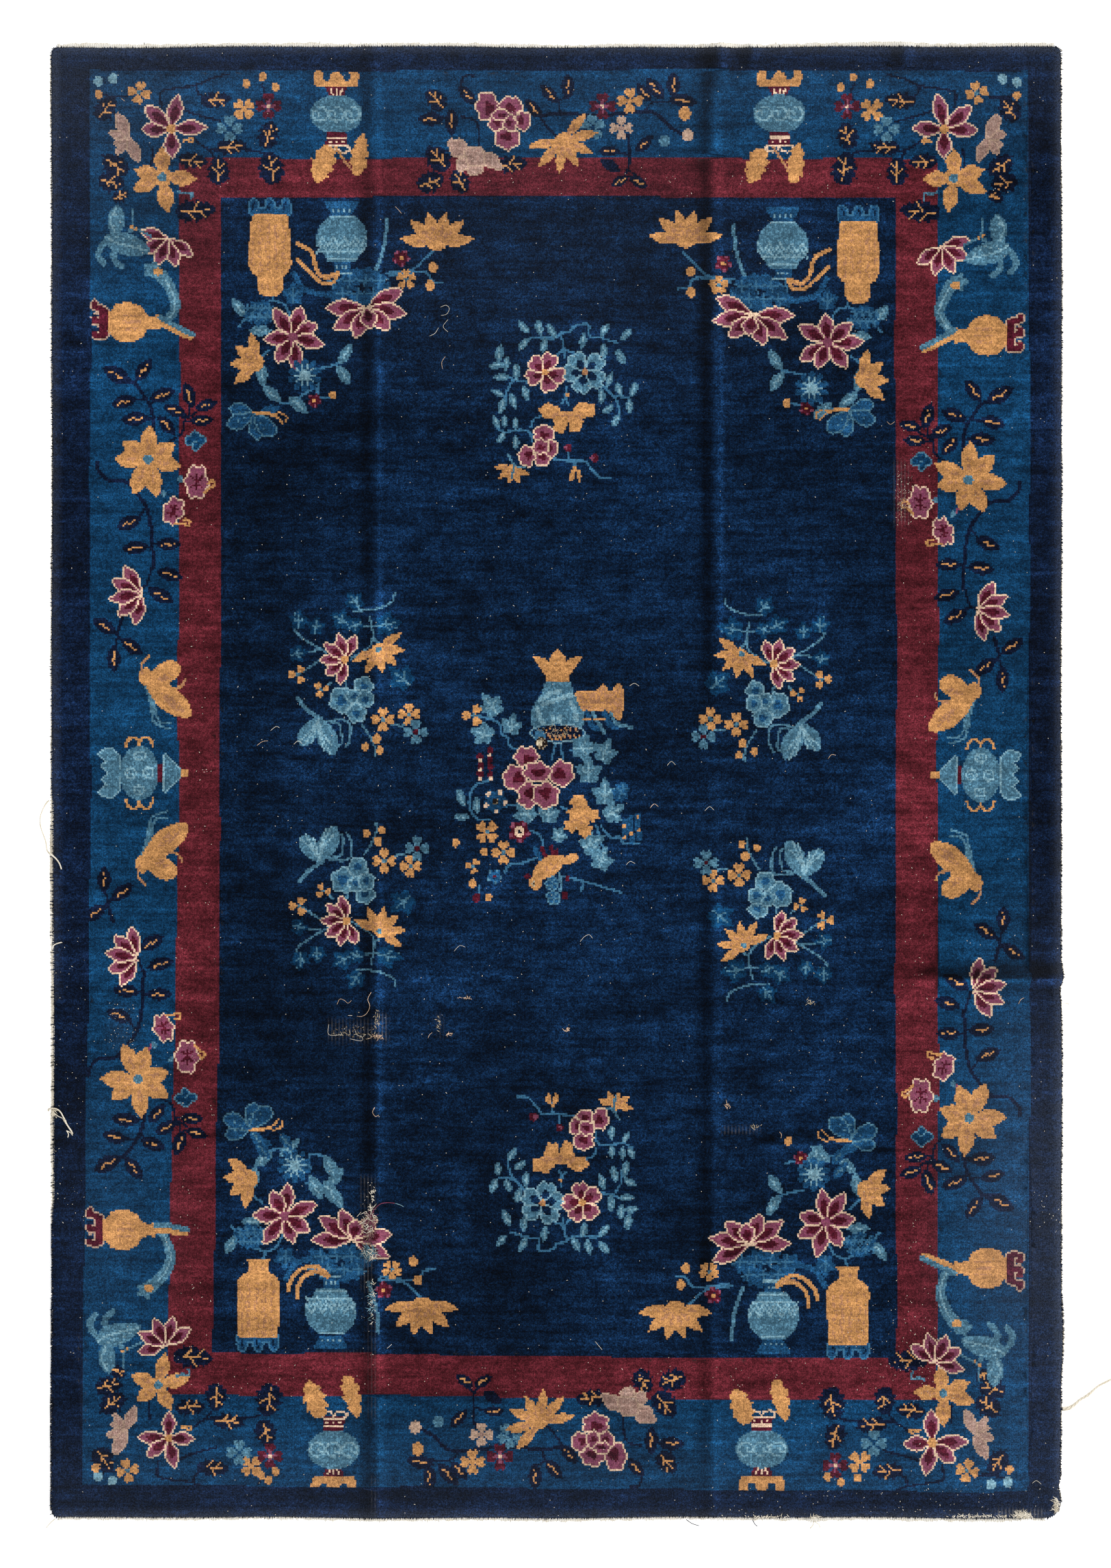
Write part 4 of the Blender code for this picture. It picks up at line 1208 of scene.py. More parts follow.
tie("""
stem mid wide=3: 858,1042 864,1060 874,1066
stem light wide=2: 866,1042 874,1056 884,1072
stem mid wide=3: 884,1042 890,1058 900,1062
stem light wide=2: 892,1042 902,1058 924,1063
stem gold wide=1: 852,1051 862,1051 / 868,1051 884,1052
stem steel: 691,1045 719,1052 731,1059 733,1073 741,1078 745,1090 755,1095
stem steel: 717,1140 693,1150 686,1174 695,1195 715,1199 / 783,1254 764,1261 745,1264 738,1274
stem steel: 822,1281 853,1288 907,1304 / 853,1288 850,1302 / 871,1206 876,1221 881,1240 883,1250
stem steel: 878,1207 891,1223 907,1224 912,1233 933,1233 / 820,1180 832,1186
stem steel: 776,1214 790,1222 794,1240 / 738,1178 762,1176 / 812,1088 806,1110 / 820,1090 824,1118
stem steel: 834,1096 850,1096 / 700,1294 700,1304
ivy: 719,1033,-35,50 748,1061,10,43 707,1073,-70,48 852,1093,90,53 884,1100,20,50 860,1128,0,53
ivy: 884,1161,0,53 895,1188,60,46 769,1188,-40,50 802,1190,0,46 817,1221,30,34 864,1233,60,53
ivy: 879,1257,20,48
blue_leaf: 674,1166,-20,30 697,1176,0,28 675,1194,90,26
jagged yarn=mid vein=steel: 908,1157,20,36
plum count=3: 692,1046,-90,40 691,1266,40,28
plum: 712,1216,45,42 736,1246,0,42
berry: 666,1232,0,16 708,1245,0,15 691,1292,0,16 714,1311,0,15
berry yarn=wine: 697,1312,0,17 829,1283,0,10 826,1309,0,14 771,1281,0,12 716,1097,0,14 716,1111,0,14
berry yarn=wine: 717,1121,0,14 717,1133,0,13 702,1106,0,14 703,1119,0,14 702,1131,0,14
berry yarn=cream: 716,1104,0,7 717,1139,0,8 702,1112,0,7 702,1126,0,7 702,1138,0,8
great_peony: 793,1137,0,116
cloud: 850,1192,0,82
wild yarn=mid eye=soot tip=cream: 724,1171,0,46
wild yarn=wine: 759,1216,0,42
berry yarn=cream: 759,1216,0,20
berry yarn=ink: 759,1216,0,8
wild yarn=mid eye=wine tip=light: 723,1281,0,28
rosette fill=mid rim=light heart=mid eye=mid: 807,1291,0,22 809,1312,0,22
stem mid wide=3: 913,1200 912,1226 / 922,1196 923,1230 / 932,1192 934,1226
berry: 912,1208,0,7 922,1218,0,7 932,1194,0,8 934,1214,0,7 913,1224,0,7
stem wine wide=2: 792,1240 798,1252 / 806,1238 808,1250 / 815,1242 812,1254
stem mid wide=3: 782,1240 790,1256
stem light wide=1.6: 817,1276 820,1290 819,1302
berry: 783,1290,0,26
""")
p = Patch(800, 1268, 90, 58)
p.tie(p.leaf(0, -30, 0, 66, 36, 0.5, 0.6) | p.leaf(3, 16, 12, 44, 16, 0.6, 0.5), GOLD)
p.tie(p.leaf(2, -12, 0, 36, 16), TAN)
tie("""
berry yarn=bare: 780,1291,0,8
berry yarn=soot: 780,1292,0,4
berry yarn=steel: 789,1076,0,24
berry yarn=soot: 791,1086,0,24
berry yarn=bare: 789,1086,0,13
""")

# ---------------------------------------------------------------- outline and folds
# The slab of pile and foundation lies flat and wanders a few millimetres at its edges.
# Long creases from folding, humps at the top end, a fold at the right side and a
# wrinkle lift it, as the model of solids has them.
PILE_THICKNESS = 0.011
PILE_RIGHT, PILE_LEFT, PILE_TOP, PILE_BOTTOM = 0.9118, -0.9142, 1.3289, -1.3326
CORNER_RADIUS, WORN_CORNER_RADIUS = 0.010, 0.026
SIDE_WAVE, END_WAVE, EDGE_DEPTH = 0.0024, 0.0036, 0.120
SIDE_WAVES, END_WAVES = (table("share pace start\n" + rows) for rows in (
    "0.62 4.7 1.3\n 0.38 12.9 -0.8", "0.55 6.1 0.6\n 0.45 17.3 2.1"))
SIDE_STRETCHES = table("""
side middle reach shoulder  inward thicker
  -1 -0.400 0.400    0.060  0.0036  0.0018   # worn left binding
   1 -0.350 0.026    0.024 -0.0036     0.0   # bulge at the fold
   1 -0.382 0.024    0.022  0.0026     0.0   # dent below it
   1 -1.005 0.090    0.080 -0.0024  0.0005   # slack before the loose cord
   1 -1.276 0.022    0.020  0.0026 -0.0006   # nick near the corner
""")
RIDGES = table("""
    x0     y0     x1     y1 height reach run_out
-0.326 -1.400 -0.328 -0.300 0.0042 0.030   0.300   # left crease
-0.328  0.300 -0.332  1.400 0.0036 0.030   0.300
 0.286  0.350  0.282  1.150 0.0050 0.032   0.300   # right crease
 0.280 -1.400  0.284 -0.250 0.0034 0.032   0.300
 0.294  1.310  0.294  1.400 0.0090 0.032   0.080   # humps, top end
 0.352  1.318  0.352  1.400 0.0060 0.026   0.060
 0.628  1.318  0.628  1.400 0.0050 0.030   0.060
 0.700 -0.358  0.950 -0.352 0.0070 0.020   0.120   # fold, right side
 0.390 -0.655  0.600 -0.642 0.0028 0.016   0.060   # wrinkle
""")


def fade(distance, reach):
    """One at no distance, falling smoothly to nothing at reach."""
    return np.cos(0.5 * math.pi * np.clip(distance / reach, 0, 1)) ** 2


def from_ridge(ridge, x, y):
    """How far points lie to the right of a ridge's line, and beyond its ends."""
    run_x, run_y = ridge.x1 - ridge.x0, ridge.y1 - ridge.y0
    length = math.hypot(run_x, run_y)
    along_it = ((x - ridge.x0) * run_x + (y - ridge.y0) * run_y) / length
    right_of = ((x - ridge.x0) * run_y - (y - ridge.y0) * run_x) / length
    return right_of, np.maximum(0, np.maximum(-along_it, along_it - length))


def lift(x, y):
    """Height of the rug's underside above the floor."""
    height = 0.0
    for ridge in RIDGES:
        right_of, beyond = from_ridge(ridge, x, y)
        height += ridge.height * fade(np.abs(right_of), ridge.reach) * fade(beyond, ridge.run_out)
    return height


def waver(waves, at, way):
    """How far an edge wanders inward at a place, nought to one."""
    return 0.5 + 0.5 * sum(w.share * np.sin(w.pace * at + w.start * way) for w in waves)


def on_stretches(side, y):
    """The stretches of a side, and how far places along it belong to each."""
    return [(s, fade(np.maximum(0, np.abs(y - s.middle) - (s.reach - s.shoulder)), s.shoulder))
            for s in SIDE_STRETCHES if s.side == side]


def side_x(side, y):
    """Where the pile stops at the right (side +1) or the left (side -1)."""
    inward = SIDE_WAVE * waver(SIDE_WAVES, y, side)
    for stretch, here in on_stretches(side, y):
        inward = inward + stretch.inward * here
    return (PILE_RIGHT if side > 0 else PILE_LEFT) - side * inward


def end_y(end, x):
    """Where the pile stops at the top (end +1) or the bottom (end -1)."""
    return (PILE_TOP if end > 0 else PILE_BOTTOM) - end * END_WAVE * waver(END_WAVES, x, end)


def place(x, y):
    """Moves points of the straight slab to the rug's wandering outline."""
    side, end = np.where(x > 0, 1, -1), np.where(y > 0, 1, -1)
    radius = np.where((side > 0) & (end < 0), WORN_CORNER_RADIUS, CORNER_RADIUS)
    half_x, half_y = np.where(x > 0, PILE_RIGHT, -PILE_LEFT), np.where(y > 0, PILE_TOP, -PILE_BOTTOM)
    a = np.clip((np.abs(x) - half_x + radius) / radius, 0, 1)
    b = np.clip((np.abs(y) - half_y + radius) / radius, 0, 1)
    inside = (a <= 0) | (b <= 0)
    x = np.where(inside, x, side * (half_x - radius + a * np.sqrt(1 - b * b / 2) * radius))
    y = np.where(inside, y, end * (half_y - radius + b * np.sqrt(1 - a * a / 2) * radius))
    near_side, near_end = fade(half_x - np.abs(x), EDGE_DEPTH), fade(half_y - np.abs(y), EDGE_DEPTH)
    moved_x = x + near_side * (np.where(side > 0, side_x(1, y), side_x(-1, y)) - side * half_x)
    moved_y = y + near_end * (np.where(end > 0, end_y(1, x), end_y(-1, x)) - end * half_y)
    return moved_x, moved_y


# ---------------------------------------------------------------- knotted wool yarns
# Hand-spun sheep's wool, dyed in the hank and tied knot by knot, then clipped: dull
# and soft, each knot a little lighter or darker than the next, in faint rows along the
# weft, with wide bands where a new hank starts and patches of painted sheen where the
# nap lies over.
# A fleck's code is that of the knots in a yarn that differ from the rest.
YARN_CODES = dict(outer="#091830", blue="#0d385a", red="#5c2029", field="#081e38", gold="#cb935b",
                  tan="#ad7c5a", light="#426a80", mid="#1c4a70", cream="#e0c0a4", mauve="#84485c",
                  wine="#4d1524", ink="#0b152c", rose="#a08075", bare="#cdbfa4", soot="#241c18",
                  pale="#6f97a8", steel="#3a6b8c", sand="#b79a86")
FLECK_CODES = dict(gold="#b27f50", tan="#c9904f", rose="#b3968a", light="#5e8ea6", bare="#8f8067",
                   soot="#a9987c", mauve="#84405f", pale="#8db2bf", sand="#a98b78")
KNOT_WIDTH, KNOT_HEIGHT = 0.003296, 0.003302
WAVE_SCALE = 0.159              # what a wave texture's scale is, times the metres between waves
NOISE_LOW, NOISE_HIGH = 0.3, 0.7    # what noise mostly lies between
FIBRE_LOW, FIBRE_HIGH = 0.54, 1.46
FLECKED, LOST_PILE = 0.66, 0.9988   # one knot in three is flecked, one in 800 has lost its pile
DUST_GREY, COTTON_WHITE, WARP_GREY, WEFT_GREY = (
    linear(code) for code in ("#808ba2", "#cfc6b4", "#7f7f84", "#a79c88"))
# How strongly a yarn's tone wanders, its painted fold shade and sheen with it: deep indigo and madder far
# more than pale wool.
LIVELY = dict(outer=2.1, blue=1.5, red=1.4, field=2.1, mid=1.5, wine=1.4, ink=1.8)


def made_pile_tree():
    """The nodes that all yarns share: knots, fibres, weft rows, hanks, painted nap sheen, painted fold
    shade, dust and wear.
    """
    tree = bpy.data.node_groups.new("knotted_wool_pile", "ShaderNodeTree")
    for name, kind in (("Yarn", "Color"), ("Fleck", "Color"), ("Fleck Share", "Float"), ("Lively", "Float")):
        tree.interface.new_socket(name, in_out="INPUT", socket_type="NodeSocket" + kind)
    for name, kind in (("Colour", "Color"), ("Normal", "Vector")):
        tree.interface.new_socket(name, in_out="OUTPUT", socket_type="NodeSocket" + kind)
    given = node(tree, "NodeGroupInput").outputs
    spot = node(tree, "ShaderNodeTexCoord").outputs["Object"]

    def math_node(operation, a, b=0.0, c=0.0):
        """What an operation makes of up to three numbers."""
        return node(tree, "ShaderNodeMath", {"operation": operation}, _0=a, _1=b, _2=c).outputs[0]

    def noise(scale, detail, low, high, rough=0.55):
        """Noise that is scale = (x, y) times a metre, spread over low to high."""
        at = node(tree, "ShaderNodeMapping", Vector=spot, Scale=(*scale, scale[0])).outputs[0]
        raw = node(tree, "ShaderNodeTexNoise", Vector=at, Scale=1.0, Detail=detail,
                   Roughness=rough).outputs[0]
        return spread(tree, raw, NOISE_LOW, NOISE_HIGH, low, high)

    def drawn(name):
        """What the pile's points carry of one mark: the painted fold shade and sheen, the dust, or the wear.
        """
        return node(tree, "ShaderNodeAttribute", {"attribute_name": name}).outputs["Fac"]

    def waves(way, pitch, distortion):
        """Waves across X or Y, a pitch apart."""
        return node(tree, "ShaderNodeTexWave", {"bands_direction": way}, Vector=spot,
                    Scale=WAVE_SCALE / pitch, Distortion=distortion).outputs["Fac"]

    at_knots = node(tree, "ShaderNodeMapping", Vector=spot,
                    Scale=(1 / KNOT_WIDTH, 1 / KNOT_HEIGHT, 1.0)).outputs[0]
    knots = node(tree, "ShaderNodeTexVoronoi", {"voronoi_dimensions": "2D"}, Vector=at_knots, Scale=1.0,
                 Randomness=0.5)
    cell = node(tree, "ShaderNodeSeparateColor", _0=knots.outputs["Color"]).outputs
    fibre = noise((430, 460), 3.0, FIBRE_LOW, FIBRE_HIGH)
    weft = noise((14, 140), 3.0, 0.78, 1.22)
    hank = noise((2.2, 30), 3.0, 0.80, 1.20)
    # Painted sheen in wide and in small patches, where the nap lies over.
    nap_sheen = noise((2.6, 2.2), 4.0, 0.74, 1.26, 0.62)
    small_nap_sheen = noise((30, 42), 3.0, 0.76, 1.24)
    tone = spread(tree, cell[0], 0.0, 1.0, 0.74, 1.26)
    # The points' fold mark is painted shade and highlight beside the folds, painted sheen of the laid nap
    # and painted shade of the wrinkles.
    for other in (fibre, weft, hank, nap_sheen, small_nap_sheen, math_node("ADD", drawn("fold"), 1.0)):
        tone = math_node("MULTIPLY", tone, other)
    tone = math_node("POWER", tone, given["Lively"])
    flecked = math_node("MULTIPLY", math_node("GREATER_THAN", cell[2], FLECKED), given["Fleck Share"])
    yarn = mixed(tree, flecked, given["Yarn"], given["Fleck"])
    toned = node(tree, "ShaderNodeVectorMath", {"operation": "SCALE"}, _0=yarn, Scale=tone).outputs[0]
    # Handled wool catches grey dust, and a few knots have lost their pile.
    greyed = math_node("MULTIPLY", drawn("dust"), spread(tree, fibre, FIBRE_LOW, FIBRE_HIGH, 0.4, 1.6))
    dusty = mixed(tree, greyed, toned, DUST_GREY)
    lost = math_node("MULTIPLY", math_node("GREATER_THAN", cell[1], LOST_PILE),
                     math_node("LESS_THAN", knots.outputs["Distance"], 0.22))
    front = mixed(tree, lost, dusty, COTTON_WHITE)
    # Where the pile is rubbed away, grey-white warps show between what is left of the knots.
    warps = spread(tree, waves("X", KNOT_WIDTH, 0.6), 0.35, 0.9)
    patchy = noise((70, 150), 2.0, 0.2, 1.3)
    seen = math_node("MULTIPLY", math_node("MULTIPLY", drawn("worn"), warps), patchy)
    front = mixed(tree, seen, front, WARP_GREY)
    # The back shows the knots' collars tight together, with cotton weft between rows.
    cotton_seen = spread(tree, waves("Y", KNOT_HEIGHT, 0.4), 0.72, 0.95, 0.0, 0.45)
    back = mixed(tree, cotton_seen, toned, WEFT_GREY)
    facing = node(tree, "ShaderNodeNewGeometry").outputs["True Normal"]
    facing = node(tree, "ShaderNodeSeparateXYZ", _0=facing).outputs[2]
    colour = mixed(tree, math_node("LESS_THAN", facing, -0.5), front, back)

    dome = spread(tree, knots.outputs["Distance"], 0.0, 0.75, 1.0, 0.0)
    height = math_node("ADD", dome, math_node("MULTIPLY", fibre, 0.9))
    height = math_node("ADD", height, math_node("MULTIPLY", weft, 1.2))
    bump = node(tree, "ShaderNodeBump", Height=height, Strength=0.85, Distance=0.0009).outputs[0]
    node(tree, "NodeGroupOutput", Colour=colour, Normal=bump)
    return tree


pile_tree = made_pile_tree()
yarn_materials = []
for yarn_name in YARNS:
    wool, tree, shader = new_material("wool_yarn_" + yarn_name, Roughness=0.96, IOR=1.45,
                                      Specular_IOR_Level=0.06, Sheen_Weight=0.06, Sheen_Roughness=0.45)
    pile = node(tree, "ShaderNodeGroup", {"node_tree": pile_tree}, Yarn=linear(YARN_CODES[yarn_name]),
                Fleck=linear(FLECK_CODES.get(yarn_name, YARN_CODES[yarn_name])), Fleck_Share=0.75,
                Lively=LIVELY.get(yarn_name, 0.85))
    tree.links.new(pile.outputs["Colour"], shader.inputs["Base Color"])
    tree.links.new(pile.outputs["Normal"], shader.inputs["Normal"])
    yarn_materials.append(wool)

# ---------------------------------------------------------------- knotted pile
# Six pieces of one slab, cut where the chart's knots meet, each a closed sheet: the
# clipped pile above, the knotted back below.  A facet never crosses from one yarn to
# another, so every colour ends where its knots do, a little unevenly.
PANEL_COLUMNS, PANEL_ROWS = (0, 277, COLUMNS), (0, 269, 537, ROWS)
PLAIN_STEP, FOLD_STEP = 9, 3    # knots between points, on the flat and near a fold
UNEVEN = 0.00055                # metres that a yarn's corner strays
RIM_DROP, RIM_REACH = 0.0034, 0.0050    # how far the pile falls at the rim, and from where
TINY, LEAST_FACET = 1e-6, 1e-4
DEEPEST_SHADE, MOST_DUST, CREASED = 0.62, 0.2, 0.03
# Where the top, the back and the rim start on the flat map, and how much of it they take.
MAP_LEFT, MAP_WIDTH = 0.004, 0.992
MAP_TOP, MAP_BACK, MAP_RIM = (0.004, 0.690), (0.702, 0.27), (0.978, 0.018)
FOLD_FULL = 0.0045              # a ridge this high gets its painted shade in full
# Painted shade and highlight beside a fold's line: how far to its right, over what half width, and how
# strongly.
FOLD_DARK, FOLD_LIGHT = (-0.0150, 0.0120, 0.46), (0.0080, 0.0065, 0.56)
WRINKLE_BOW, WORN_EDGE = 0.003, 0.007
END_DUST, SIDE_DUST, RIM_DUST = (0.036, 0.26), (0.004, 0.20), (0.11, 0.021)   # amount and reach
DUSTY_LEFT = -0.4               # above this the left rim is rubbed as well
# Patches of painted sheen, lighter or darker, where the nap lies over: half sizes, and a turn.
NAP_SHEEN_PATCHES = table("""
     x      y  wide  high turn lighter
-0.545  0.420 0.215 0.560    0   -0.58
-0.500 -0.480 0.190 0.330    0   -0.46
-0.130 -0.340 0.190 0.110    8    0.30
 0.120 -0.250 0.060 0.190  -32    0.30
 0.230 -0.330 0.050 0.160  -40    0.26
-0.165 -0.740 0.050 0.230   -4    0.38
-0.230 -0.590 0.120 0.055    0   -0.30
 0.030 -0.600 0.160 0.050    0   -0.26
-0.060 -0.930 0.160 0.230    6   -0.50
 0.060  0.520 0.150 0.080  -20    0.16
 0.130  0.700 0.090 0.200    0    0.18
 0.420  0.180 0.100 0.330    0    0.14
-0.200  0.300 0.100 0.120    0   -0.16
 0.460 -0.500 0.110 0.130   10    0.20
-0.010 -0.060 0.250 0.090   -6   -0.14
 0.840 -0.600 0.075 0.300    0    0.36
-0.860 -0.560 0.045 0.110    0   -0.40
-0.860 -0.380 0.045 0.050    0   -0.36
 0.290  1.270 0.040 0.060    0   -0.40
 0.800  1.000 0.050 0.240    0   -0.22
""")
WORN_SPOTS = table("""
     x      y half_x half_y amount
-0.365 -0.452  0.045  0.014   0.20
-0.316 -0.446  0.004  0.020   0.34
-0.213 -0.440  0.004  0.018   0.12
-0.344 -0.745  0.010  0.026   0.17
-0.342 -0.850  0.005  0.070   0.20
-0.334 -1.040  0.003  0.110   0.13
-0.330 -1.290  0.003  0.030   0.14
 0.622  0.520  0.008  0.055   0.22
 0.330 -0.630  0.030  0.003   0.20
 0.835 -1.322  0.040  0.004   0.60
""")
# Fine wrinkles, drawn as painted shade: a dark line along each, its ends, half width and depth.
WRINKLE_SHADES = table("""
   x0     y0    x1     y1   wide darker
0.688 -0.350 0.917 -0.358 0.0030   0.62
0.760 -0.374 0.917 -0.377 0.0075   0.26
0.366 -0.396 0.552 -0.409 0.0050   0.20
0.527 -0.406 0.601 -0.357 0.0050   0.24
0.292 -0.635 0.391 -0.647 0.0036   0.36
0.477 -0.662 0.663 -0.666 0.0036   0.36
""")
# Where grey dust has settled most: a middle, and how its patch is squeezed.
DUSTY_PLACES = table("""
     x      y squeeze_x squeeze_y reach amount
  0.90  -0.80       1.0      0.40  0.30  0.085
 -0.82  -0.80       1.0       0.5  0.22  0.018
 -0.88    1.2       1.0       1.0  0.50  0.040
   0.0    1.0       0.6       1.0  0.45  0.022
-0.785 -0.445       1.0       0.6 0.045  0.030
""")
HALF_NAMES, BAND_NAMES = ("left", "right"), ("bottom", "middle", "top")
strays = np.random.default_rng(5).uniform(-UNEVEN, UNEVEN, (ROWS + 1, COLUMNS + 1, 2))
strays[:, PANEL_COLUMNS] = 0
strays[PANEL_ROWS, :] = 0


def on_slab(column, row):
    """Where whole knot corners are on the straight slab, in metres."""
    x = PILE_LEFT + column * (PILE_RIGHT - PILE_LEFT) / COLUMNS
    y = PILE_BOTTOM + row * (PILE_TOP - PILE_BOTTOM) / ROWS
    return x, y


def panel_at(x, y):
    """The name of the panel that a point is on, as bottom_left."""
    band = sum(y > on_slab(0, row)[1] for row in PANEL_ROWS[1:-1])
    return BAND_NAMES[band] + "_" + HALF_NAMES[int(x > on_slab(PANEL_COLUMNS[1], 0)[0])]


def yarn_edges(low, high, left, right):
    """The runs of edges between unlike knots, as pairs of (column, row)."""
    part = chart[low:high, left:right]
    runs = []
    for lines, flip in ((part[:, 1:] != part[:, :-1], False), ((part[1:] != part[:-1]).T, True)):
        for k in range(lines.shape[1]):
            steps = np.flatnonzero(np.diff(np.concatenate([[0], lines[:, k].astype(np.int8), [0]])))
            for a, b in steps.reshape(-1, 2):
                ends = ((k + 1, a), (k + 1, b))
                runs.append([(left + (q if flip else p), low + (p if flip else q)) for p, q in ends])
    return runs


def extra_points(low, high, left, right):
    """Points that carry the folds, the worn spots, the painted shade of the wrinkles and the rim, and keep
    the facets small.
    """
    points = {(c, r) for c in range(left, right + 1, PLAIN_STEP) for r in range(low, high + 1, PLAIN_STEP)}
    for c in (left, right):
        points |= {(c, r) for r in range(low, high + 1)}
    for r in (low, high):
        points |= {(c, r) for c in range(left, right + 1)}
    inner = {c for c in (1, COLUMNS - 1) if left < c < right}
    points |= {(c, r) for c in inner for r in range(low + 1, high, 2)}
    inner = {r for r in (1, ROWS - 1) if low < r < high}
    points |= {(c, r) for r in inner for c in range(left + 1, right, 2)}
    columns, rows = np.meshgrid(np.arange(left, right + 1, FOLD_STEP), np.arange(low, high + 1, FOLD_STEP))
    x, y = on_slab(columns, rows)
    for ridge in RIDGES:
        right_of, beyond = from_ridge(ridge, x, y)
        near = (np.abs(right_of) < ridge.reach * 1.1) & (beyond < ridge.run_out)
        upright = abs(ridge.x1 - ridge.x0) < abs(ridge.y1 - ridge.y0)
        sparse = (rows if upright else columns) % (2 * FOLD_STEP) == 0
        points |= set(zip(columns[near & sparse].tolist(), rows[near & sparse].tolist()))
    worn = rubbed(x, y) > 0
    points |= set(zip(columns[worn].tolist(), rows[worn].tolist()))
    columns, rows = np.meshgrid(np.arange(left, right + 1), np.arange(low, high + 1))
    creased = wrinkle_shade(*on_slab(columns, rows)) > CREASED
    return points | set(zip(columns[creased].tolist(), rows[creased].tolist()))


def wrinkle_shade(x, y):
    """How dark the painted shade of the fine wrinkles makes a place, nought to one."""
    dark = np.zeros_like(x)
    for w in WRINKLE_SHADES:
        run_x, run_y = w.x1 - w.x0, w.y1 - w.y0
        share = np.clip(((x - w.x0) * run_x + (y - w.y0) * run_y) / (run_x ** 2 + run_y ** 2), 0, 1)
        bow = WRINKLE_BOW * np.sin(7 * share + 40 * w.x0)
        off = np.hypot(x - w.x0 - share * run_x, y - w.y0 - share * run_y - bow)
        dark = np.maximum(dark, w.darker * np.exp(-(off / w.wide) ** 2))
    return dark


def painted_fold_shade_and_sheen(x, y):
    """Painted shade and highlight along each fold, dark to its left and light to its
    right, painted sheen where the nap lies over to one side or the other in patches,
    and the painted shade of the fine wrinkles."""
    shade = np.zeros_like(x)
    for ridge in RIDGES:
        right_of, beyond = from_ridge(ridge, x, y)
        strength = fade(beyond, ridge.run_out) * ridge.height / FOLD_FULL
        light, dark = (share * np.exp(-((right_of - middle) / wide) ** 2)
                       for middle, wide, share in (FOLD_LIGHT, FOLD_DARK))
        shade += strength * (light - dark)
    for lay in NAP_SHEEN_PATCHES:
        turn = math.radians(lay.turn)
        over = (x - lay.x) * math.cos(turn) + (y - lay.y) * math.sin(turn)
        up = (y - lay.y) * math.cos(turn) - (x - lay.x) * math.sin(turn)
        shade += 0.5 * lay.lighter * fade(np.hypot(over / lay.wide, up / lay.high), 1.0)
    return np.clip(shade - wrinkle_shade(x, y), -DEEPEST_SHADE, DEEPEST_SHADE)


def rubbed(x, y):
    """How far the pile is rubbed away, nought to one."""
    worn = np.zeros_like(x)
    for w in WORN_SPOTS:
        off_x, off_y = np.abs(x - w.x) - w.half_x, np.abs(y - w.y) - w.half_y
        off = np.hypot(np.maximum(off_x, 0), np.maximum(off_y, 0))
        worn = np.maximum(worn, w.amount * fade(off, WORN_EDGE))
    return worn


def handled_dust(x, y):
    """Grey dust toward the ends, the corners and the lower right side."""
    to_end = np.minimum(PILE_TOP - y, y - PILE_BOTTOM)
    to_side = np.minimum(PILE_RIGHT - x, x - PILE_LEFT)
    dust = END_DUST[0] * fade(to_end, END_DUST[1]) + SIDE_DUST[0] * fade(to_side, SIDE_DUST[1])
    for d in DUSTY_PLACES:
        dust += d.amount * fade(np.hypot((x - d.x) * d.squeeze_x, (y - d.y) * d.squeeze_y), d.reach)
    rubbed_side = np.where(y > DUSTY_LEFT, to_side, PILE_RIGHT - x)
    dust += RIM_DUST[0] * fade(np.minimum(to_end, rubbed_side), RIM_DUST[1])
    return np.clip(dust, 0, MOST_DUST)


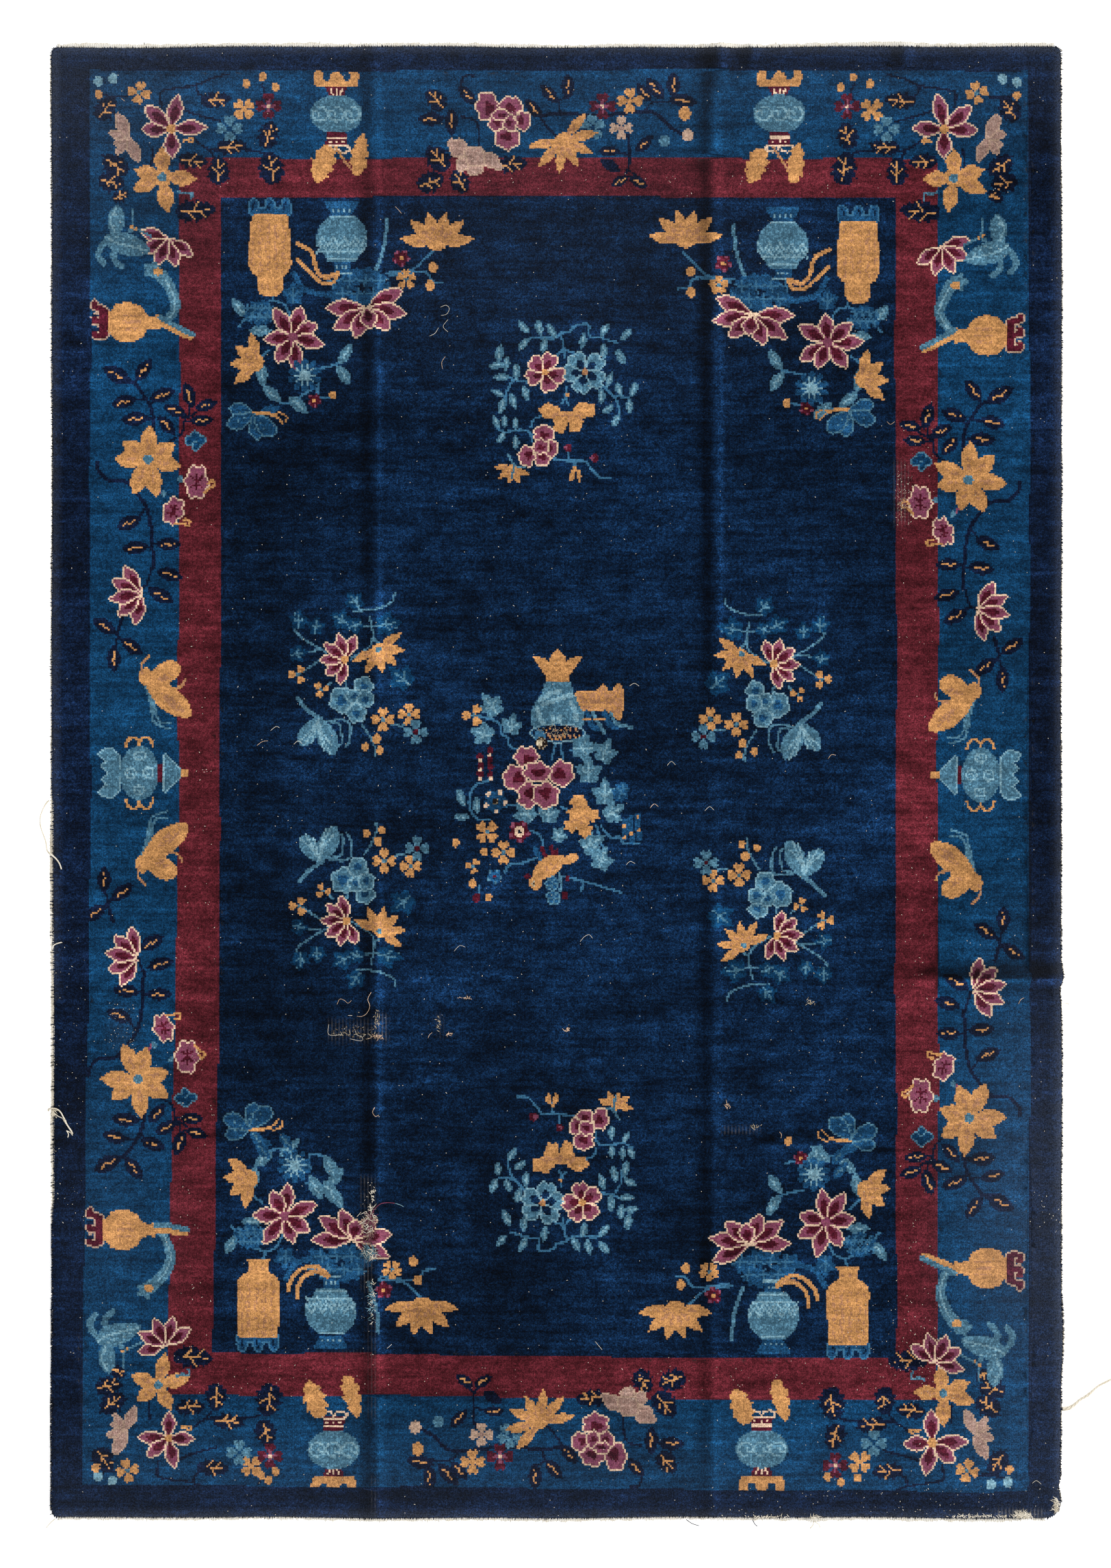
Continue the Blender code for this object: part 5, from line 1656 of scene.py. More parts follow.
for band_name, low, high in zip(BAND_NAMES, PANEL_ROWS, PANEL_ROWS[1:]):
    for half_name, left, right in zip(HALF_NAMES, PANEL_COLUMNS, PANEL_COLUMNS[1:]):
        runs = yarn_edges(low, high, left, right)
        for a, b in (((left, low), (right, low)), ((right, low), (right, high)),
                     ((right, high), (left, high)), ((left, high), (left, low))):
            runs.append([a, b])
        spots = {}
        pairs = [tuple(spots.setdefault(end, len(spots)) for end in run) for run in runs]
        for point in sorted(extra_points(low, high, left, right)):
            spots.setdefault(point, len(spots))
        found, _, facets, *_ = geometry.delaunay_2d_cdt(
            [Vector(p) for p in spots], pairs, [], 0, TINY, False)
        knots = np.array([tuple(v) for v in found])
        facets = np.array(facets)
        a, b, c = (knots[facets[:, k]] for k in range(3))
        area = (b[:, 0] - a[:, 0]) * (c[:, 1] - a[:, 1]) - (b[:, 1] - a[:, 1]) * (c[:, 0] - a[:, 0])
        facets = facets[np.abs(area) > LEAST_FACET]
        middle = knots[facets].mean(axis=1)
        yarn_of = chart[middle[:, 1].astype(int), middle[:, 0].astype(int)]
        whole = np.rint(knots).astype(int)
        x, y = on_slab(knots[:, 0], knots[:, 1])
        stray = strays[whole[:, 1], whole[:, 0]]
        rim = np.minimum.reduce([x - PILE_LEFT, PILE_RIGHT - x, y - PILE_BOTTOM, PILE_TOP - y])
        x, y = np.where(rim > TINY, x + stray[:, 0], x), np.where(rim > TINY, y + stray[:, 1], y)
        x, y = place(x, y)
        under = lift(x, y)
        drop = RIM_DROP * (1 - np.clip(rim / RIM_REACH, 0, 1)) ** 2
        # Slow waves of less than a millimetre, as in any rug that has been rolled.
        swell = (0.0004 * np.sin(23 * x + 3 * np.sin(11 * y)) * np.sin(19 * y + 2)
                 + 0.0003 * np.sin(61 * x) * np.sin(47 * y))
        top = under + PILE_THICKNESS - drop + np.where(rim > 0.004, swell, 0)
        count = len(x)
        points = np.concatenate([np.column_stack([x, y, top]), np.column_stack([x, y, under])])
        pairs = np.concatenate([facets[:, (0, 1)], facets[:, (1, 2)], facets[:, (2, 0)]])
        owner = np.tile(np.arange(len(facets)), 3)
        seen = {}
        for k, (p, q) in enumerate(pairs.tolist()):
            seen.setdefault((min(p, q), max(p, q)), []).append(k)
        rim_pairs = [k[0] for k in seen.values() if len(k) == 1]
        walls = [(q, p, p + count, q + count) for p, q in pairs[rim_pairs].tolist()]
        faces = facets.tolist() + (facets[:, ::-1] + count).tolist() + walls
        name = "pile_%s_%s" % (band_name, half_name)
        data = bpy.data.meshes.new(name)
        data.from_pydata(points.tolist(), [], faces)
        for wool in yarn_materials:
            data.materials.append(wool)
        yarns = np.concatenate([yarn_of, yarn_of, yarn_of[owner[rim_pairs]]]).astype(np.int32)
        data.polygons.foreach_set("material_index", yarns)
        data.polygons.foreach_set("use_smooth", [True] * (2 * len(facets)) + [False] * len(walls))
        data.update()
        both = np.concatenate([x, x]), np.concatenate([y, y])
        # fold carries painted shade and highlight beside the folds, painted nap sheen and painted wrinkle
        # shade; dust and worn carry dust and wear.
        for mark_name, wear in (("fold", painted_fold_shade_and_sheen), ("dust", handled_dust), ("worn", rubbed)):
            carried = data.attributes.new(mark_name, "FLOAT", "POINT")
            carried.data.foreach_set("value", wear(*both).astype(np.float32))
        # Top, back and rim one above another on the piece's own flat map.
        flat = data.uv_layers.new(name="OFBake")
        corner = np.zeros(len(data.loops), np.int32)
        data.loops.foreach_get("vertex_index", corner)
        u = (points[corner, 0] - x.min()) / (x.max() - x.min())
        v = (points[corner, 1] - y.min()) / (y.max() - y.min())
        top_corners, all_flat = 3 * len(facets), 6 * len(facets)
        u = MAP_LEFT + MAP_WIDTH * u
        v = np.where(np.arange(len(v)) < top_corners, MAP_TOP[0] + MAP_TOP[1] * v,
                     MAP_BACK[0] + MAP_BACK[1] * v)
        rim_points = points[corner[all_flat:]]
        v[all_flat:] = MAP_RIM[0] + MAP_RIM[1] * (rim_points[:, 2] > PILE_THICKNESS / 2)
        u[all_flat:] = MAP_LEFT + MAP_WIDTH * np.abs(np.sin(rim_points[:, 0] * 1.7 + rim_points[:, 1] * 1.1))
        flat.data.foreach_set("uv", np.column_stack([u, v]).astype(np.float32).ravel())
        sharp = data.attributes.new("sharp_edge", "BOOLEAN", "EDGE")
        ends = np.zeros(2 * len(data.edges), np.int32)
        data.edges.foreach_get("vertices", ends)
        rim_set = {(min(p, q), max(p, q)) for p, q in pairs[rim_pairs].tolist()}
        rim_set |= {(p + count, q + count) for p, q in rim_set}
        sharp.data.foreach_set("value", [(min(e), max(e)) in rim_set for e in ends.reshape(-1, 2).tolist()])
        piece = put(name, data)
        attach(piece, "root")
        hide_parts("rug_body")
        float(np.ptp(x))
        float(np.ptp(y))

# ---------------------------------------------------------------- fibres that stand at an edge
# Tufts of the last knots, broken warps and frayed yarn: each grows from a point of a
# seed mesh, along that point's own way, a little bent, thinner to its tip.


def made_fibre_tree():
    """Geometry nodes that grow one tapered, bent fibre from every point."""
    tree = bpy.data.node_groups.new("fibres_from_points", "GeometryNodeTree")
    for name, kind in (("Seeds", "Geometry"), ("Length", "Float"), ("Thickness", "Float"),
                       ("Stray", "Float"),
                       ("Bend", "Float"), ("Seed", "Int"), ("Yarn", "Material")):
        tree.interface.new_socket(name, in_out="INPUT", socket_type="NodeSocket" + kind)
    tree.interface.new_socket("Fibres", in_out="OUTPUT", socket_type="NodeSocketGeometry")
    given = node(tree, "NodeGroupInput").outputs

    def times(a, b):
        """One number times another."""
        return node(tree, "ShaderNodeMath", {"operation": "MULTIPLY"}, _0=a, _1=b).outputs[0]

    line = node(tree, "GeometryNodeCurvePrimitiveLine", Start=(0, 0, 0), End=(0, 0, 1)).outputs[0]
    line = node(tree, "GeometryNodeResampleCurve", Curve=line, Count=4).outputs[0]
    share = node(tree, "GeometryNodeSplineParameter").outputs["Factor"]
    bow = node(tree, "ShaderNodeMath", {"operation": "POWER"}, _0=share, _1=2.0).outputs[0]
    offset = node(tree, "ShaderNodeCombineXYZ", X=times(bow, given["Bend"])).outputs[0]
    line = node(tree, "GeometryNodeSetPosition", Geometry=line, Offset=offset).outputs[0]
    taper = spread(tree, share, 0.0, 1.0, 1.0, 0.35)
    line = node(tree, "GeometryNodeSetCurveRadius", Curve=line, Radius=taper).outputs[0]
    ring = node(tree, "GeometryNodeCurvePrimitiveCircle", Resolution=4, Radius=1.0).outputs[0]
    tube = node(tree, "GeometryNodeCurveToMesh", Curve=line, Profile_Curve=ring, Fill_Caps=True)
    # The tube is a metre long and two wide here; each fibre is scaled to its size.
    way = node(tree, "GeometryNodeInputNamedAttribute", {"data_type": "FLOAT_VECTOR"}, Name="way").outputs[0]
    loose = node(tree, "FunctionNodeRandomValue", {"data_type": "FLOAT_VECTOR"}, _0=(-1, -1, -0.3),
                 _1=(1, 1, 1), Seed=given["Seed"]).outputs[0]
    loose = node(tree, "ShaderNodeVectorMath", {"operation": "SCALE"}, _0=loose,
                 Scale=given["Stray"]).outputs[0]
    way = node(tree, "ShaderNodeVectorMath", {"operation": "ADD"}, _0=way, _1=loose).outputs[0]
    turned = node(tree, "FunctionNodeAlignRotationToVector", {"axis": "Z"}, Vector=way).outputs[0]
    grown_to = node(tree, "GeometryNodeInputNamedAttribute", {"data_type": "FLOAT"}, Name="size").outputs[0]
    about = node(tree, "FunctionNodeRandomValue", {"data_type": "FLOAT"}, _2=0.6, _3=1.3,
                 Seed=given["Seed"]).outputs[1]
    long = times(times(grown_to, about), given["Length"])
    scale = node(tree, "ShaderNodeCombineXYZ", X=given["Thickness"], Y=given["Thickness"], Z=long).outputs[0]
    grown = node(tree, "GeometryNodeInstanceOnPoints", Points=given["Seeds"], Instance=tube.outputs[0],
                 Rotation=turned, Scale=scale).outputs[0]
    real = node(tree, "GeometryNodeRealizeInstances", Geometry=grown).outputs[0]
    yarned = node(tree, "GeometryNodeSetMaterial", Geometry=real, Material=given["Yarn"]).outputs[0]
    node(tree, "NodeGroupOutput", Fibres=yarned)
    return tree


fibre_tree = made_fibre_tree()
OFF_FLOOR = 0.0001              # nothing lies nearer to the floor
RIM_WAYS = dict(bottom=(0, -1), right=(1, 0), top=(0, 1), left=(-1, 0))


def grown_fibres(name, seeds, material, length, thickness, stray=0.4, bow=0.25, seed=1):
    """A mesh of fibres; seeds are rows of x, y, z, the way's x, y, z, a size and, where
    material is a list, the number of the material in it."""
    seeds = np.array(seeds, float)
    data = bpy.data.meshes.new(name + "_seeds")
    data.from_pydata(seeds[:, :3].tolist(), [], [])
    data.attributes.new("way", "FLOAT_VECTOR", "POINT").data.foreach_set("vector", seeds[:, 3:6].ravel())
    data.attributes.new("size", "FLOAT", "POINT").data.foreach_set("value", seeds[:, 6].copy())
    sown = put(name + "_seeds", data)
    growth = sown.modifiers.new("growth", "NODES")
    growth.node_group = fibre_tree
    settings = {"Length": length, "Thickness": thickness, "Stray": stray, "Seed": seed,
                "Bend": bow / thickness * length * 0.5,
                "Yarn": material if isinstance(material, bpy.types.Material) else material[0]}
    for item in fibre_tree.interface.items_tree:
        if item.in_out == "INPUT" and item.name in settings:
            growth[item.identifier] = settings[item.name]
    grown = bpy.data.meshes.new_from_object(sown.evaluated_get(bpy.context.evaluated_depsgraph_get()))
    grown.name = name
    points = np.zeros(3 * len(grown.vertices))
    grown.vertices.foreach_get("co", points)
    points[2::3] = np.maximum(points[2::3], OFF_FLOOR)
    grown.vertices.foreach_set("co", points)
    if isinstance(material, list):
        grown.materials.clear()
        for one in material:
            grown.materials.append(one)
        faces_each = len(grown.polygons) // len(seeds)
        grown.polygons.foreach_set("material_index", np.repeat(seeds[:, 7].astype(np.int32), faces_each))
    bpy.data.objects.remove(sown)
    piece = put(name, grown)
    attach(piece, "root")
    return piece


def rim_spots(step):
    """Points round the rug's rim: x, y and the way out, a step apart."""
    spots = []
    for out_x, out_y in RIM_WAYS.values():
        length = (PILE_RIGHT - PILE_LEFT) if out_y else (PILE_TOP - PILE_BOTTOM)
        t = np.arange(step / 2, length, step)
        if out_y:
            x, y = place(PILE_LEFT + t, np.full(len(t), PILE_TOP if out_y > 0 else PILE_BOTTOM))
        else:
            x, y = place(np.full(len(t), PILE_RIGHT if out_x > 0 else PILE_LEFT), PILE_BOTTOM + t)
        spots += [(a, b, out_x, out_y) for a, b in zip(x, y)]
    return spots


# ---------------------------------------------------------------- tufts at the pile's rim
# The outermost knots lean out over the edge, so that it is soft and never a clean line.
RIM_STEP, TUFT_ROOT = 0.0022, 0.0009    # between tufts, and how far in they are rooted
scatter = np.random.default_rng(21)
rims = {}
for x, y, out_x, out_y in rim_spots(RIM_STEP):
    base = float(lift(x, y)) + PILE_THICKNESS * scatter.uniform(0.35, 0.90)
    rims.setdefault(panel_at(x, y), []).append(
        (x - TUFT_ROOT * out_x, y - TUFT_ROOT * out_y, base, out_x, out_y,
         scatter.uniform(0.1, 0.9), scatter.uniform(0.6, 1.25)))
for panel, seeds in rims.items():
    tufts = grown_fibres("rim_tufts_" + panel, seeds, yarn_materials[OUTER], 0.0030, 0.00075, stray=0.45,
                         bow=0.2, seed=4)

# ---------------------------------------------------------------- cotton webs at the ends
# Past the last row of knots each end has a flat woven web of undyed cotton: warps run
# out of the rug over and under a few wefts.  It is ragged, stained and half worn away.
WEB_THICKNESS = 0.0018
TOP_WEB_WIDTH, BOTTOM_WEB_WIDTH = 0.0075, 0.0064
WEB_TOOTH, WEB_LEAST, WARP_PITCH = 0.0012, 0.0012, 0.00165
TUCKED = -0.0012                # how far a web reaches in under the pile
# A web's section, from its root over the top and back underneath: share of its width,
# or metres where it is tucked in, and share of its thickness.
WEB_SECTION = ((TUCKED, 0.8), (0.30, 1.0), (0.75, 0.9), (1.0, 0.35), (1.0, 0.02), (TUCKED, 0.0))
WEB_STRETCHES = table("""
end middle reach   wider
  1 -0.835 0.060  0.0030
  1 -0.460 0.050  0.0020
  1  0.030 0.070 -0.0020
  1  0.290 0.050  0.0025
  1  0.600 0.120  0.0028
 -1 -0.500 0.160 -0.0012
 -1  0.010 0.040  0.0018
 -1  0.470 0.035  0.0030
 -1  0.640 0.060  0.0022
 -1  0.845 0.022 -0.0034
 -1  0.800 0.022  0.0018
""")

web_cotton = cotton("undyed_cotton_web", "#fffcf4", "#eee5d2")
tree = web_cotton.node_tree
shader = tree.nodes["Principled BSDF"]
spot = node(tree, "ShaderNodeTexCoord").outputs["Object"]
ribs = node(tree, "ShaderNodeTexWave", {"bands_direction": "X"}, Vector=spot, Scale=WAVE_SCALE / WARP_PITCH,
            Distortion=1.4, Detail=1.0).outputs["Fac"]
old = shader.inputs["Base Color"].links[0].from_socket
# Darker between the warp ribs, in step with their bump: painted shade in the grooves.
rib_tone = spread(tree, ribs, 0.0, 1.0, 0.92, 1.03)
ribbed = node(tree, "ShaderNodeVectorMath", {"operation": "SCALE"}, _0=old, Scale=rib_tone).outputs[0]
tree.links.new(ribbed, shader.inputs["Base Color"])
bump = node(tree, "ShaderNodeBump", Height=ribs, Strength=0.9, Distance=0.0006).outputs[0]
tree.links.new(bump, shader.inputs["Normal"])

for end_name, end, width, seed in (("top", 1, TOP_WEB_WIDTH, 5), ("bottom", -1, BOTTOM_WEB_WIDTH, 8)):
    ragged = np.random.default_rng(seed)
    corner = {1: (CORNER_RADIUS, CORNER_RADIUS), -1: (CORNER_RADIUS, WORN_CORNER_RADIUS)}[end]
    x = np.arange(PILE_LEFT + corner[0], PILE_RIGHT - corner[1], RIM_STEP)
    x, y = place(x, np.full(len(x), PILE_TOP if end > 0 else PILE_BOTTOM))
    here = width + np.convolve(ragged.uniform(-1, 1, len(x) + 4), np.ones(5) / 5, "valid") * 2.4 * WEB_TOOTH
    here += ragged.uniform(-0.4, 0.4, len(x)) * WEB_TOOTH
    for s in WEB_STRETCHES:
        if s.end == end:
            here += s.wider * fade(np.abs(x - s.middle), s.reach)
    here = np.maximum(here, WEB_LEAST)
    base = lift(x, y)
    cut = int(np.searchsorted(x, on_slab(PANEL_COLUMNS[1], 0)[0]))
    for half, part in zip(HALF_NAMES, (slice(0, cut + 1), slice(cut, None))):
        name = end_name + "_end_web_" + half
        verts, faces = [], []
        for share, height in WEB_SECTION:
            depth = share * here[part] if share > 0 else share
            level = base[part] + OFF_FLOOR + WEB_THICKNESS * height
            verts.append(np.column_stack([x[part], y[part] + end * depth, level]))
        n, loops = len(x[part]), len(verts)
        for k in range(loops):
            after = (k + 1) % loops
            for i in range(n - 1):
                quad = (k * n + i, k * n + i + 1, after * n + i + 1, after * n + i)
                faces.append(quad if end > 0 else quad[::-1])
        faces.append([k * n for k in range(loops)][:: 1 if end > 0 else -1])
        faces.append([k * n + n - 1 for k in range(loops)][:: -1 if end > 0 else 1])
        data = bpy.data.meshes.new(name)
        data.from_pydata(np.concatenate(verts).tolist(), [], faces)
        data.materials.append(web_cotton)
        data.polygons.foreach_set("use_smooth", [True] * len(data.polygons))
        web = put(name, data)
        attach(web, "root")
        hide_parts("end_web_" + end_name)
        # Broken warps past the web's edge, and wefts that have slipped out of it.
        seeds = []
        for a, b, wide, z in zip(x[part], y[part], here[part], base[part]):
            if ragged.uniform() < 0.8:
                seeds.append((a, b + end * wide * 0.7, z + 0.0010, ragged.uniform(-0.3, 0.3), end,
                              ragged.uniform(-0.12, 0.2), ragged.uniform(0.4, 1.3)))
        warps = grown_fibres(name + "_warps", seeds, web_cotton, 0.0032, 0.00055, stray=0.25, bow=0.2,
                             seed=seed)

# ---------------------------------------------------------------- bound sides
# A thick cotton cord lies along each side, oversewn with navy wool.  Most of the
# oversewing is worn off, and the cord shows as a thin pale line; along the left it has
# gone slack into a ladder, and toward the bottom left it is whole.
CORD_RADIUS, CORD_GAP, CORD_STEP = 0.0016, 0.0002, 0.004
SLACK_LAY, TIGHT_LAY = 80.0, 3.4        # turns of the ply, in cord diameters
WRAP_THICKNESS, WRAP_WIDER = 0.00055, 1.3
WRAP_STEPS = np.linspace(-0.55 * math.pi, 0.84 * math.pi, 8)   # from under the cord to the pile
# How the oversewing has lasted: the side, from and to along the rug, the distance
# between turns, and the share of turns that are left.
OVERSEWN = table("""
side    low   high  pitch left   yarn
  -1 -1.325 -0.800 0.0021 0.97   wool
  -1 -0.800 -0.020 0.0062 0.46   wool
  -1 -0.798 -0.020 0.0062 0.90 cotton
  -1 -0.020  1.320 0.0060 0.12   wool
  -1 -0.020  1.320 0.0160 0.40 cotton
   1 -1.305 -1.020 0.0024 0.40   wool
   1 -1.020  0.200 0.0024 0.30   wool
   1  0.200  1.320 0.0024 0.20   wool
   1 -1.020  1.320 0.0310 0.30 cotton
""")
SLACK = (-0.800, -0.020)         # where the left cord's two plies have come untwisted
for side_name, side in (("left", -1), ("right", 1)):
    low_corner = CORNER_RADIUS if side < 0 else WORN_CORNER_RADIUS
    y = np.arange(PILE_BOTTOM + low_corner + CORD_STEP / 2, PILE_TOP - CORNER_RADIUS, CORD_STEP)
    x, y = place(np.full(len(y), PILE_RIGHT if side > 0 else PILE_LEFT), y)
    radius = np.full(len(y), CORD_RADIUS)
    for stretch, here in on_stretches(side, y):
        radius += stretch.thicker * here
    wander = 0.00035 * np.sin(37 * y) + 0.00025 * np.sin(111 * y + 1)
    rows = np.column_stack([x + side * (radius + CORD_GAP + wander), y, lift(x, y) + radius + OFF_FLOOR,
                            radius])
    slack = (side < 0) & (y > SLACK[0]) & (y < SLACK[1])
    lay = np.where(slack, SLACK_LAY, TIGHT_LAY)
    cuts = [0, *(int(np.searchsorted(y, on_slab(0, row)[1])) for row in PANEL_ROWS[1:-1]), len(y) - 1]
    wear = np.random.default_rng(31 + side)
    for band, first, last in zip(BAND_NAMES, cuts, cuts[1:]):
        name = side_name + "_binding_" + band
        part = slice(first, last + 1)
        binding = plied_tube(name, rows[part], cord_cotton, sides=6, strands=2, lay=lay[part])
        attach(binding, "root")
        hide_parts("binding_" + side_name)
        # Turns of the oversewing, each an arch from the pile over the cord to the floor.
        bm = bmesh.new()
        for stretch in OVERSEWN:
            low, high = max(stretch.low, y[first]), min(stretch.high, y[last])
            offset = 0.37 * stretch.pitch * (stretch.yarn == "cotton")
            for at in np.arange(low, high, stretch.pitch) + offset:
                if stretch.side != side or wear.uniform() > stretch.left:
                    continue
                cx, cz, r = (np.interp(at, y, column) for column in (rows[:, 0], rows[:, 2], rows[:, 3]))
                out = r + WRAP_THICKNESS * 0.7
                slant = wear.uniform(0.0004, 0.0016)
                rings = []
                for a in WRAP_STEPS:
                    # a is nought straight out from the rug; it passes over the cord to the pile
                    middle = Vector((cx + side * out * math.cos(a), at + slant * a / math.pi,
                                     max(cz + out * math.sin(a), WRAP_THICKNESS + OFF_FLOOR)))
                    way = Vector((side * math.cos(a), 0, math.sin(a)))
                    ring = [math.cos(b) * way + math.sin(b) * Vector((0, 1, 0)) * WRAP_WIDER
                            for b in round_angles(4)]
                    rings.append([bm.verts.new(middle + WRAP_THICKNESS * out_way) for out_way in ring])
                for face in tube_faces(bm, rings):
                    face.smooth, face.material_index = True, int(stretch.yarn == "cotton")
        sewn = closed_mesh(bm, name + "_oversewing", (yarn_materials[OUTER], cord_cotton))
        sewing = put(sewn.name, sewn)
        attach(sewing, "root")

# ---------------------------------------------------------------- lint and frayed yarn
# White lint has settled in the pile, thickest on the red guard band and toward the
# lower right, and where knots are worn or torn through, their ends and the cotton
# under them stand out.  Places are in pixels of the picture, sizes in metres.
LINT = table("""
 px0  py0  px1  py1 count
  85   75 1545 2215   380
1306  560 1368 2050   170
 255 1990 1372 2045   130
1190 1900 1400 2060   110
1000 2172 1548 2222   110
1308  690 1335  800    70
 540 1240 1010 1500    60
 340 1000  610 1200    40
  82 1340  128 1790    70
 258  850  318 1960    80
 600  240 1330  292    50
 700  560 1000  900    30
1120 1380 1300 1600    40
 560  430  700  680    24
 800 2050 1300 2170    50
 528 1720  552 2000    60
 160 1465  202 1535    46
1500 1740 1560 1800    30
""")
FRAYS = table("""
  px   py half_x half_y count   yarn   long
 540 1783      8     21    80 cotton 0.0044
 543 1790      5     24    60  mauve 0.0055
 540 1800      3     26    40   rose 0.0060
 540 1830      8      7    90   pale 0.0055
 540 1832     10      9    46 cotton 0.0060
 543 1905      3     32    60   pale 0.0034
 545 1900      3     36    36 cotton 0.0028
 545 1740      4     16    30 cotton 0.0020
 519 1508     38     11    70   soot 0.0022
 519 1512     38      2    24   bare 0.0030
 550 1515      9      3    26  cream 0.0030
 551 1490      4     16    30   bare 0.0024
 641 1500      3     18    20   bare 0.0020
1064 1618      3      5     9  cream 0.0040
 829 1504      4      2     9  cream 0.0026
 657 1511      4      2     7  cream 0.0026
1182 1465     10      3    20   bare 0.0026
1104 1646      8      2    14   bare 0.0026
 678 1459     12      2    12  cream 0.0020
 816 1068     30      9    60   bare 0.0020
1495 2213     12      4   130 cotton 0.0034
1543 2199      4     10    80 cotton 0.0034
1440 2215     60      2    90 cotton 0.0026
1190 2217      7      2    26 cotton 0.0030
1120 2216     34      2    50 cotton 0.0026
1318  735      6     26    40   rose 0.0024
1314  748      5     20    20  cream 0.0020
  79 1626      2      6    20 cotton 0.0040
""")
WEAR_YARNS = ("bare", "cream", "mauve", "rose", "pale", "soot", "cotton")
CURL_YARNS = ("cotton", "outer", "bare", "cream", "mauve", "rose", "pale")
LINT_LONG, WORN_LONG, FRAY_RISE, SUNK = 0.0009, 0.005, 0.15, 0.0002


def in_picture(px, py):
    """Metres on the rug of a place in the picture."""
    return (px - MIDDLE_PX[0]) * PIXEL, (MIDDLE_PX[1] - py) * PIXEL


settled = np.random.default_rng(77)
on_panels = {}
spots = [(settled.uniform(a.px0, a.px1), settled.uniform(a.py0, a.py1), "cotton", LINT_LONG, 0.0)
         for a in LINT for _ in range(a.count)]
for fray in FRAYS:
    turn, out = settled.uniform(0, 2 * math.pi, fray.count), settled.uniform(0, 1, fray.count) ** 0.6
    spots += [(fray.px + fray.half_x * o * math.cos(t), fray.py + fray.half_y * o * math.sin(t),
               fray.yarn, fray.long, FRAY_RISE) for t, o in zip(turn, out)]
for px, py, yarn_name, long, up in spots:
    x, y = in_picture(px, py)
    turn = settled.uniform(0, 2 * math.pi)
    size = settled.uniform(0.5, 1.6) * long / WORN_LONG
    z = float(lift(x, y)) + PILE_THICKNESS - SUNK
    on_panels.setdefault(panel_at(x, y), []).append(
        (x, y, z, math.cos(turn), math.sin(turn), settled.uniform(0.0, 0.2) + up, size,
         WEAR_YARNS.index(yarn_name)))
wear_wools, curl_wools = (
    [cord_cotton if name == "cotton" else yarn_materials[YARNS.index(name)] for name in names]
    for names in (WEAR_YARNS, CURL_YARNS))
for panel, seeds in on_panels.items():
    fuzz = grown_fibres("lint_and_fray_" + panel, seeds, wear_wools, WORN_LONG, 0.00042, stray=0.10,
                        bow=0.3, seed=9)

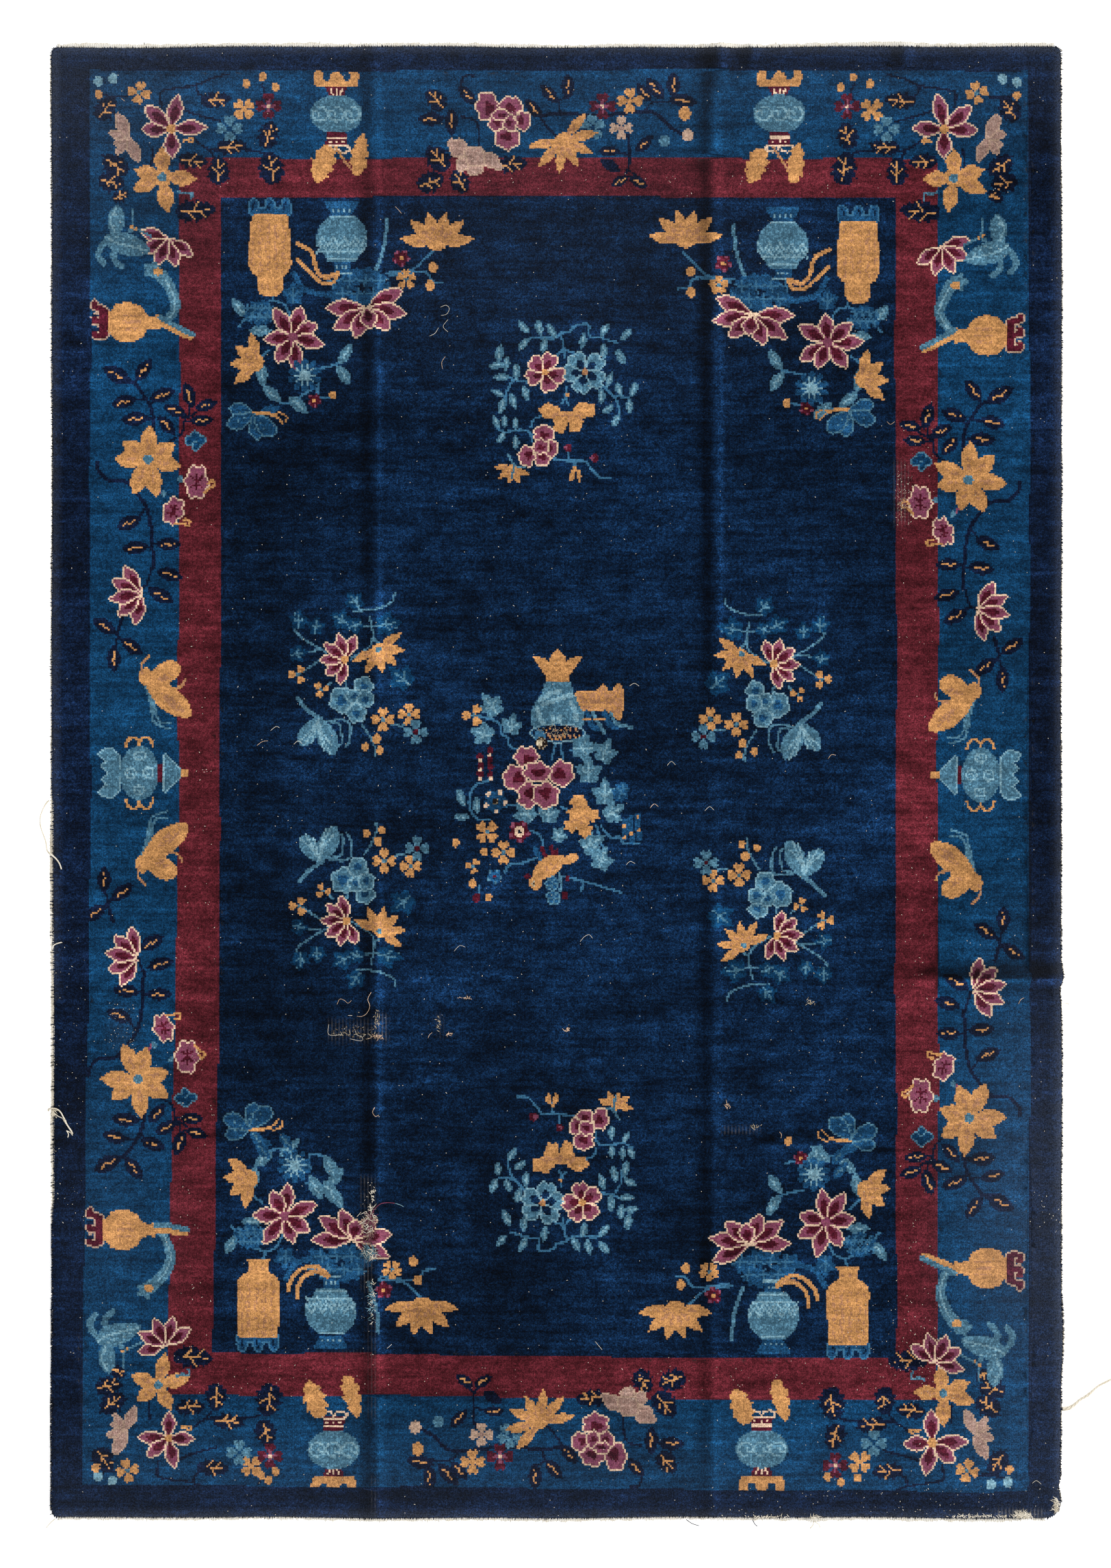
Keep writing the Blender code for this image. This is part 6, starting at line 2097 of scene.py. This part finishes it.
# ---------------------------------------------------------------- loose curls of yarn
# Ends of thread that lie where they fell: white cotton curls, a torn rose yarn over the
# worn flower, and short ends at the rims.  Each row is a yarn, its radius in metres and
# the few places of the picture that it runs through.
CURLS = """
cream 0.00045: 543,1450 538,1460 541,1470 537,1480 530,1485 522,1485
cream 0.00035: 493,1468 497,1460 504,1462 509,1466 514,1462
cotton 0.00035: 509,1484 515,1484
cotton 0.00030: 481,1497 481,1512 499,1512
cotton 0.00030: 519,1504 522,1512 530,1516 528,1521 512,1518
cream 0.00050: 548,1618 545,1625 549,1631 554,1629
cream 0.00045: 1488,1467 1491,1461 1496,1458
cream 0.00045: 1139,1654 1142,1658 1141,1663
cream 0.00040: 626,1517 628,1512 632,1509
cream 0.00055: 652,1513 657,1510 662,1510
cream 0.00050: 822,1503 827,1507 833,1502
cream 0.00040: 578,303 583,308 587,313
cotton 0.00030: 644,450 652,447 657,452 653,460 645,462
cotton 0.00030: 655,468 648,478 655,486
cotton 0.00030: 628,492 636,488 641,480
cream 0.00035: 647,540 646,530 651,522
cream 0.00040: 376,1090 384,1084 392,1083
cotton 0.00035: 396,1068 404,1062 409,1064
cotton 0.00035: 430,1088 436,1083 442,1087
cream 0.00045: 950,1181 956,1175 962,1179
cream 0.00045: 1210,1109 1215,1103 1221,1104
cotton 0.00035: 975,1119 981,1113 987,1118
cotton 0.00035: 915,1264 921,1259 928,1262
cotton 0.00035: 848,1376 854,1369 861,1366 866,1371
cotton 0.00030: 664,1390 672,1382 680,1384
cream 0.00045: 676,1458 690,1460
cream 0.00050: 178,145 183,149
cream 0.00040: 1296,617 1301,621 1307,617
cotton 0.00035: 1030,1185 1037,1179 1043,1184
cotton 0.00035: 920,1003 927,999 934,1003
cotton 0.00035: 1508,2167 1514,2163 1521,2168
cotton 0.00035: 880,1972 870,1960
cotton 0.00035: 566,1970 573,1964
mauve 0.00085: 541,1815 540,1800 541,1785 545,1771 549,1765 556,1759 566,1757 577,1758
pale 0.00070: 577,1758 584,1760 590,1763
rose 0.00070: 546,1808 544,1795 547,1782 544,1772
cotton 0.00040: 522,1778 528,1771
cotton 0.00110: 77,1388 79,1382 84,1379 91,1377
cotton 0.00090: 98,1652 101,1657 100,1662
cotton 0.00090: 98,1652 104,1655 107,1659
cotton 0.00070: 79,1625 86,1631 92,1634 95,1639
cotton 0.00090: 81,2220 74,2226 68,2233
cotton 0.00080: 1550,1468 1558,1466 1563,1468
outer 0.00060: 1003,2221 1012,2227 1022,2230
outer 0.00060: 1100,2221 1103,2227 1107,2231
cotton 0.00100: 1190,2224 1188,2230 1184,2234
cotton 0.00090: 1192,2225 1197,2228 1199,2233
outer 0.00060: 211,62 212,68
"""
curls = {}
for row in CURLS.strip().splitlines():
    words, places = row.split(":")
    yarn_name, thick = words.split()
    route = []
    for place_word in places.split():
        x, y = in_picture(*map(float, place_word.split(",")))
        inside = PILE_LEFT - 0.002 < x < PILE_RIGHT and PILE_BOTTOM < y < PILE_TOP
        level = float(lift(x, y)) + (PILE_THICKNESS if inside else OFF_FLOOR)
        route.append((x, y, level + 0.9 * float(thick), float(thick)))
    rows = smooth_route(route, 4)
    rows[:, 2] = np.maximum(rows[:, 2], rows[:, 3] + OFF_FLOOR)
    curls.setdefault(panel_at(*route[0][:2]), []).append((yarn_name, rows))
for panel, threads in curls.items():
    bm = bmesh.new()
    for yarn_name, rows in threads:
        ways = np.gradient(rows[:, :3], axis=0)
        rings = []
        for (x, y, z, thick), way in zip(rows, ways):
            over = Vector((way[1], -way[0], 0)).normalized()
            ring = [math.cos(b) * over + math.sin(b) * Vector((0, 0, 1)) for b in round_angles(5)]
            rings.append([bm.verts.new(Vector((x, y, z)) + out_way * float(thick)) for out_way in ring])
        for face in tube_faces(bm, rings):
            face.smooth, face.material_index = True, CURL_YARNS.index(yarn_name)
    curled = closed_mesh(bm, "loose_curls_" + panel, curl_wools)
    lying = put(curled.name, curled)
    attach(lying, "root")
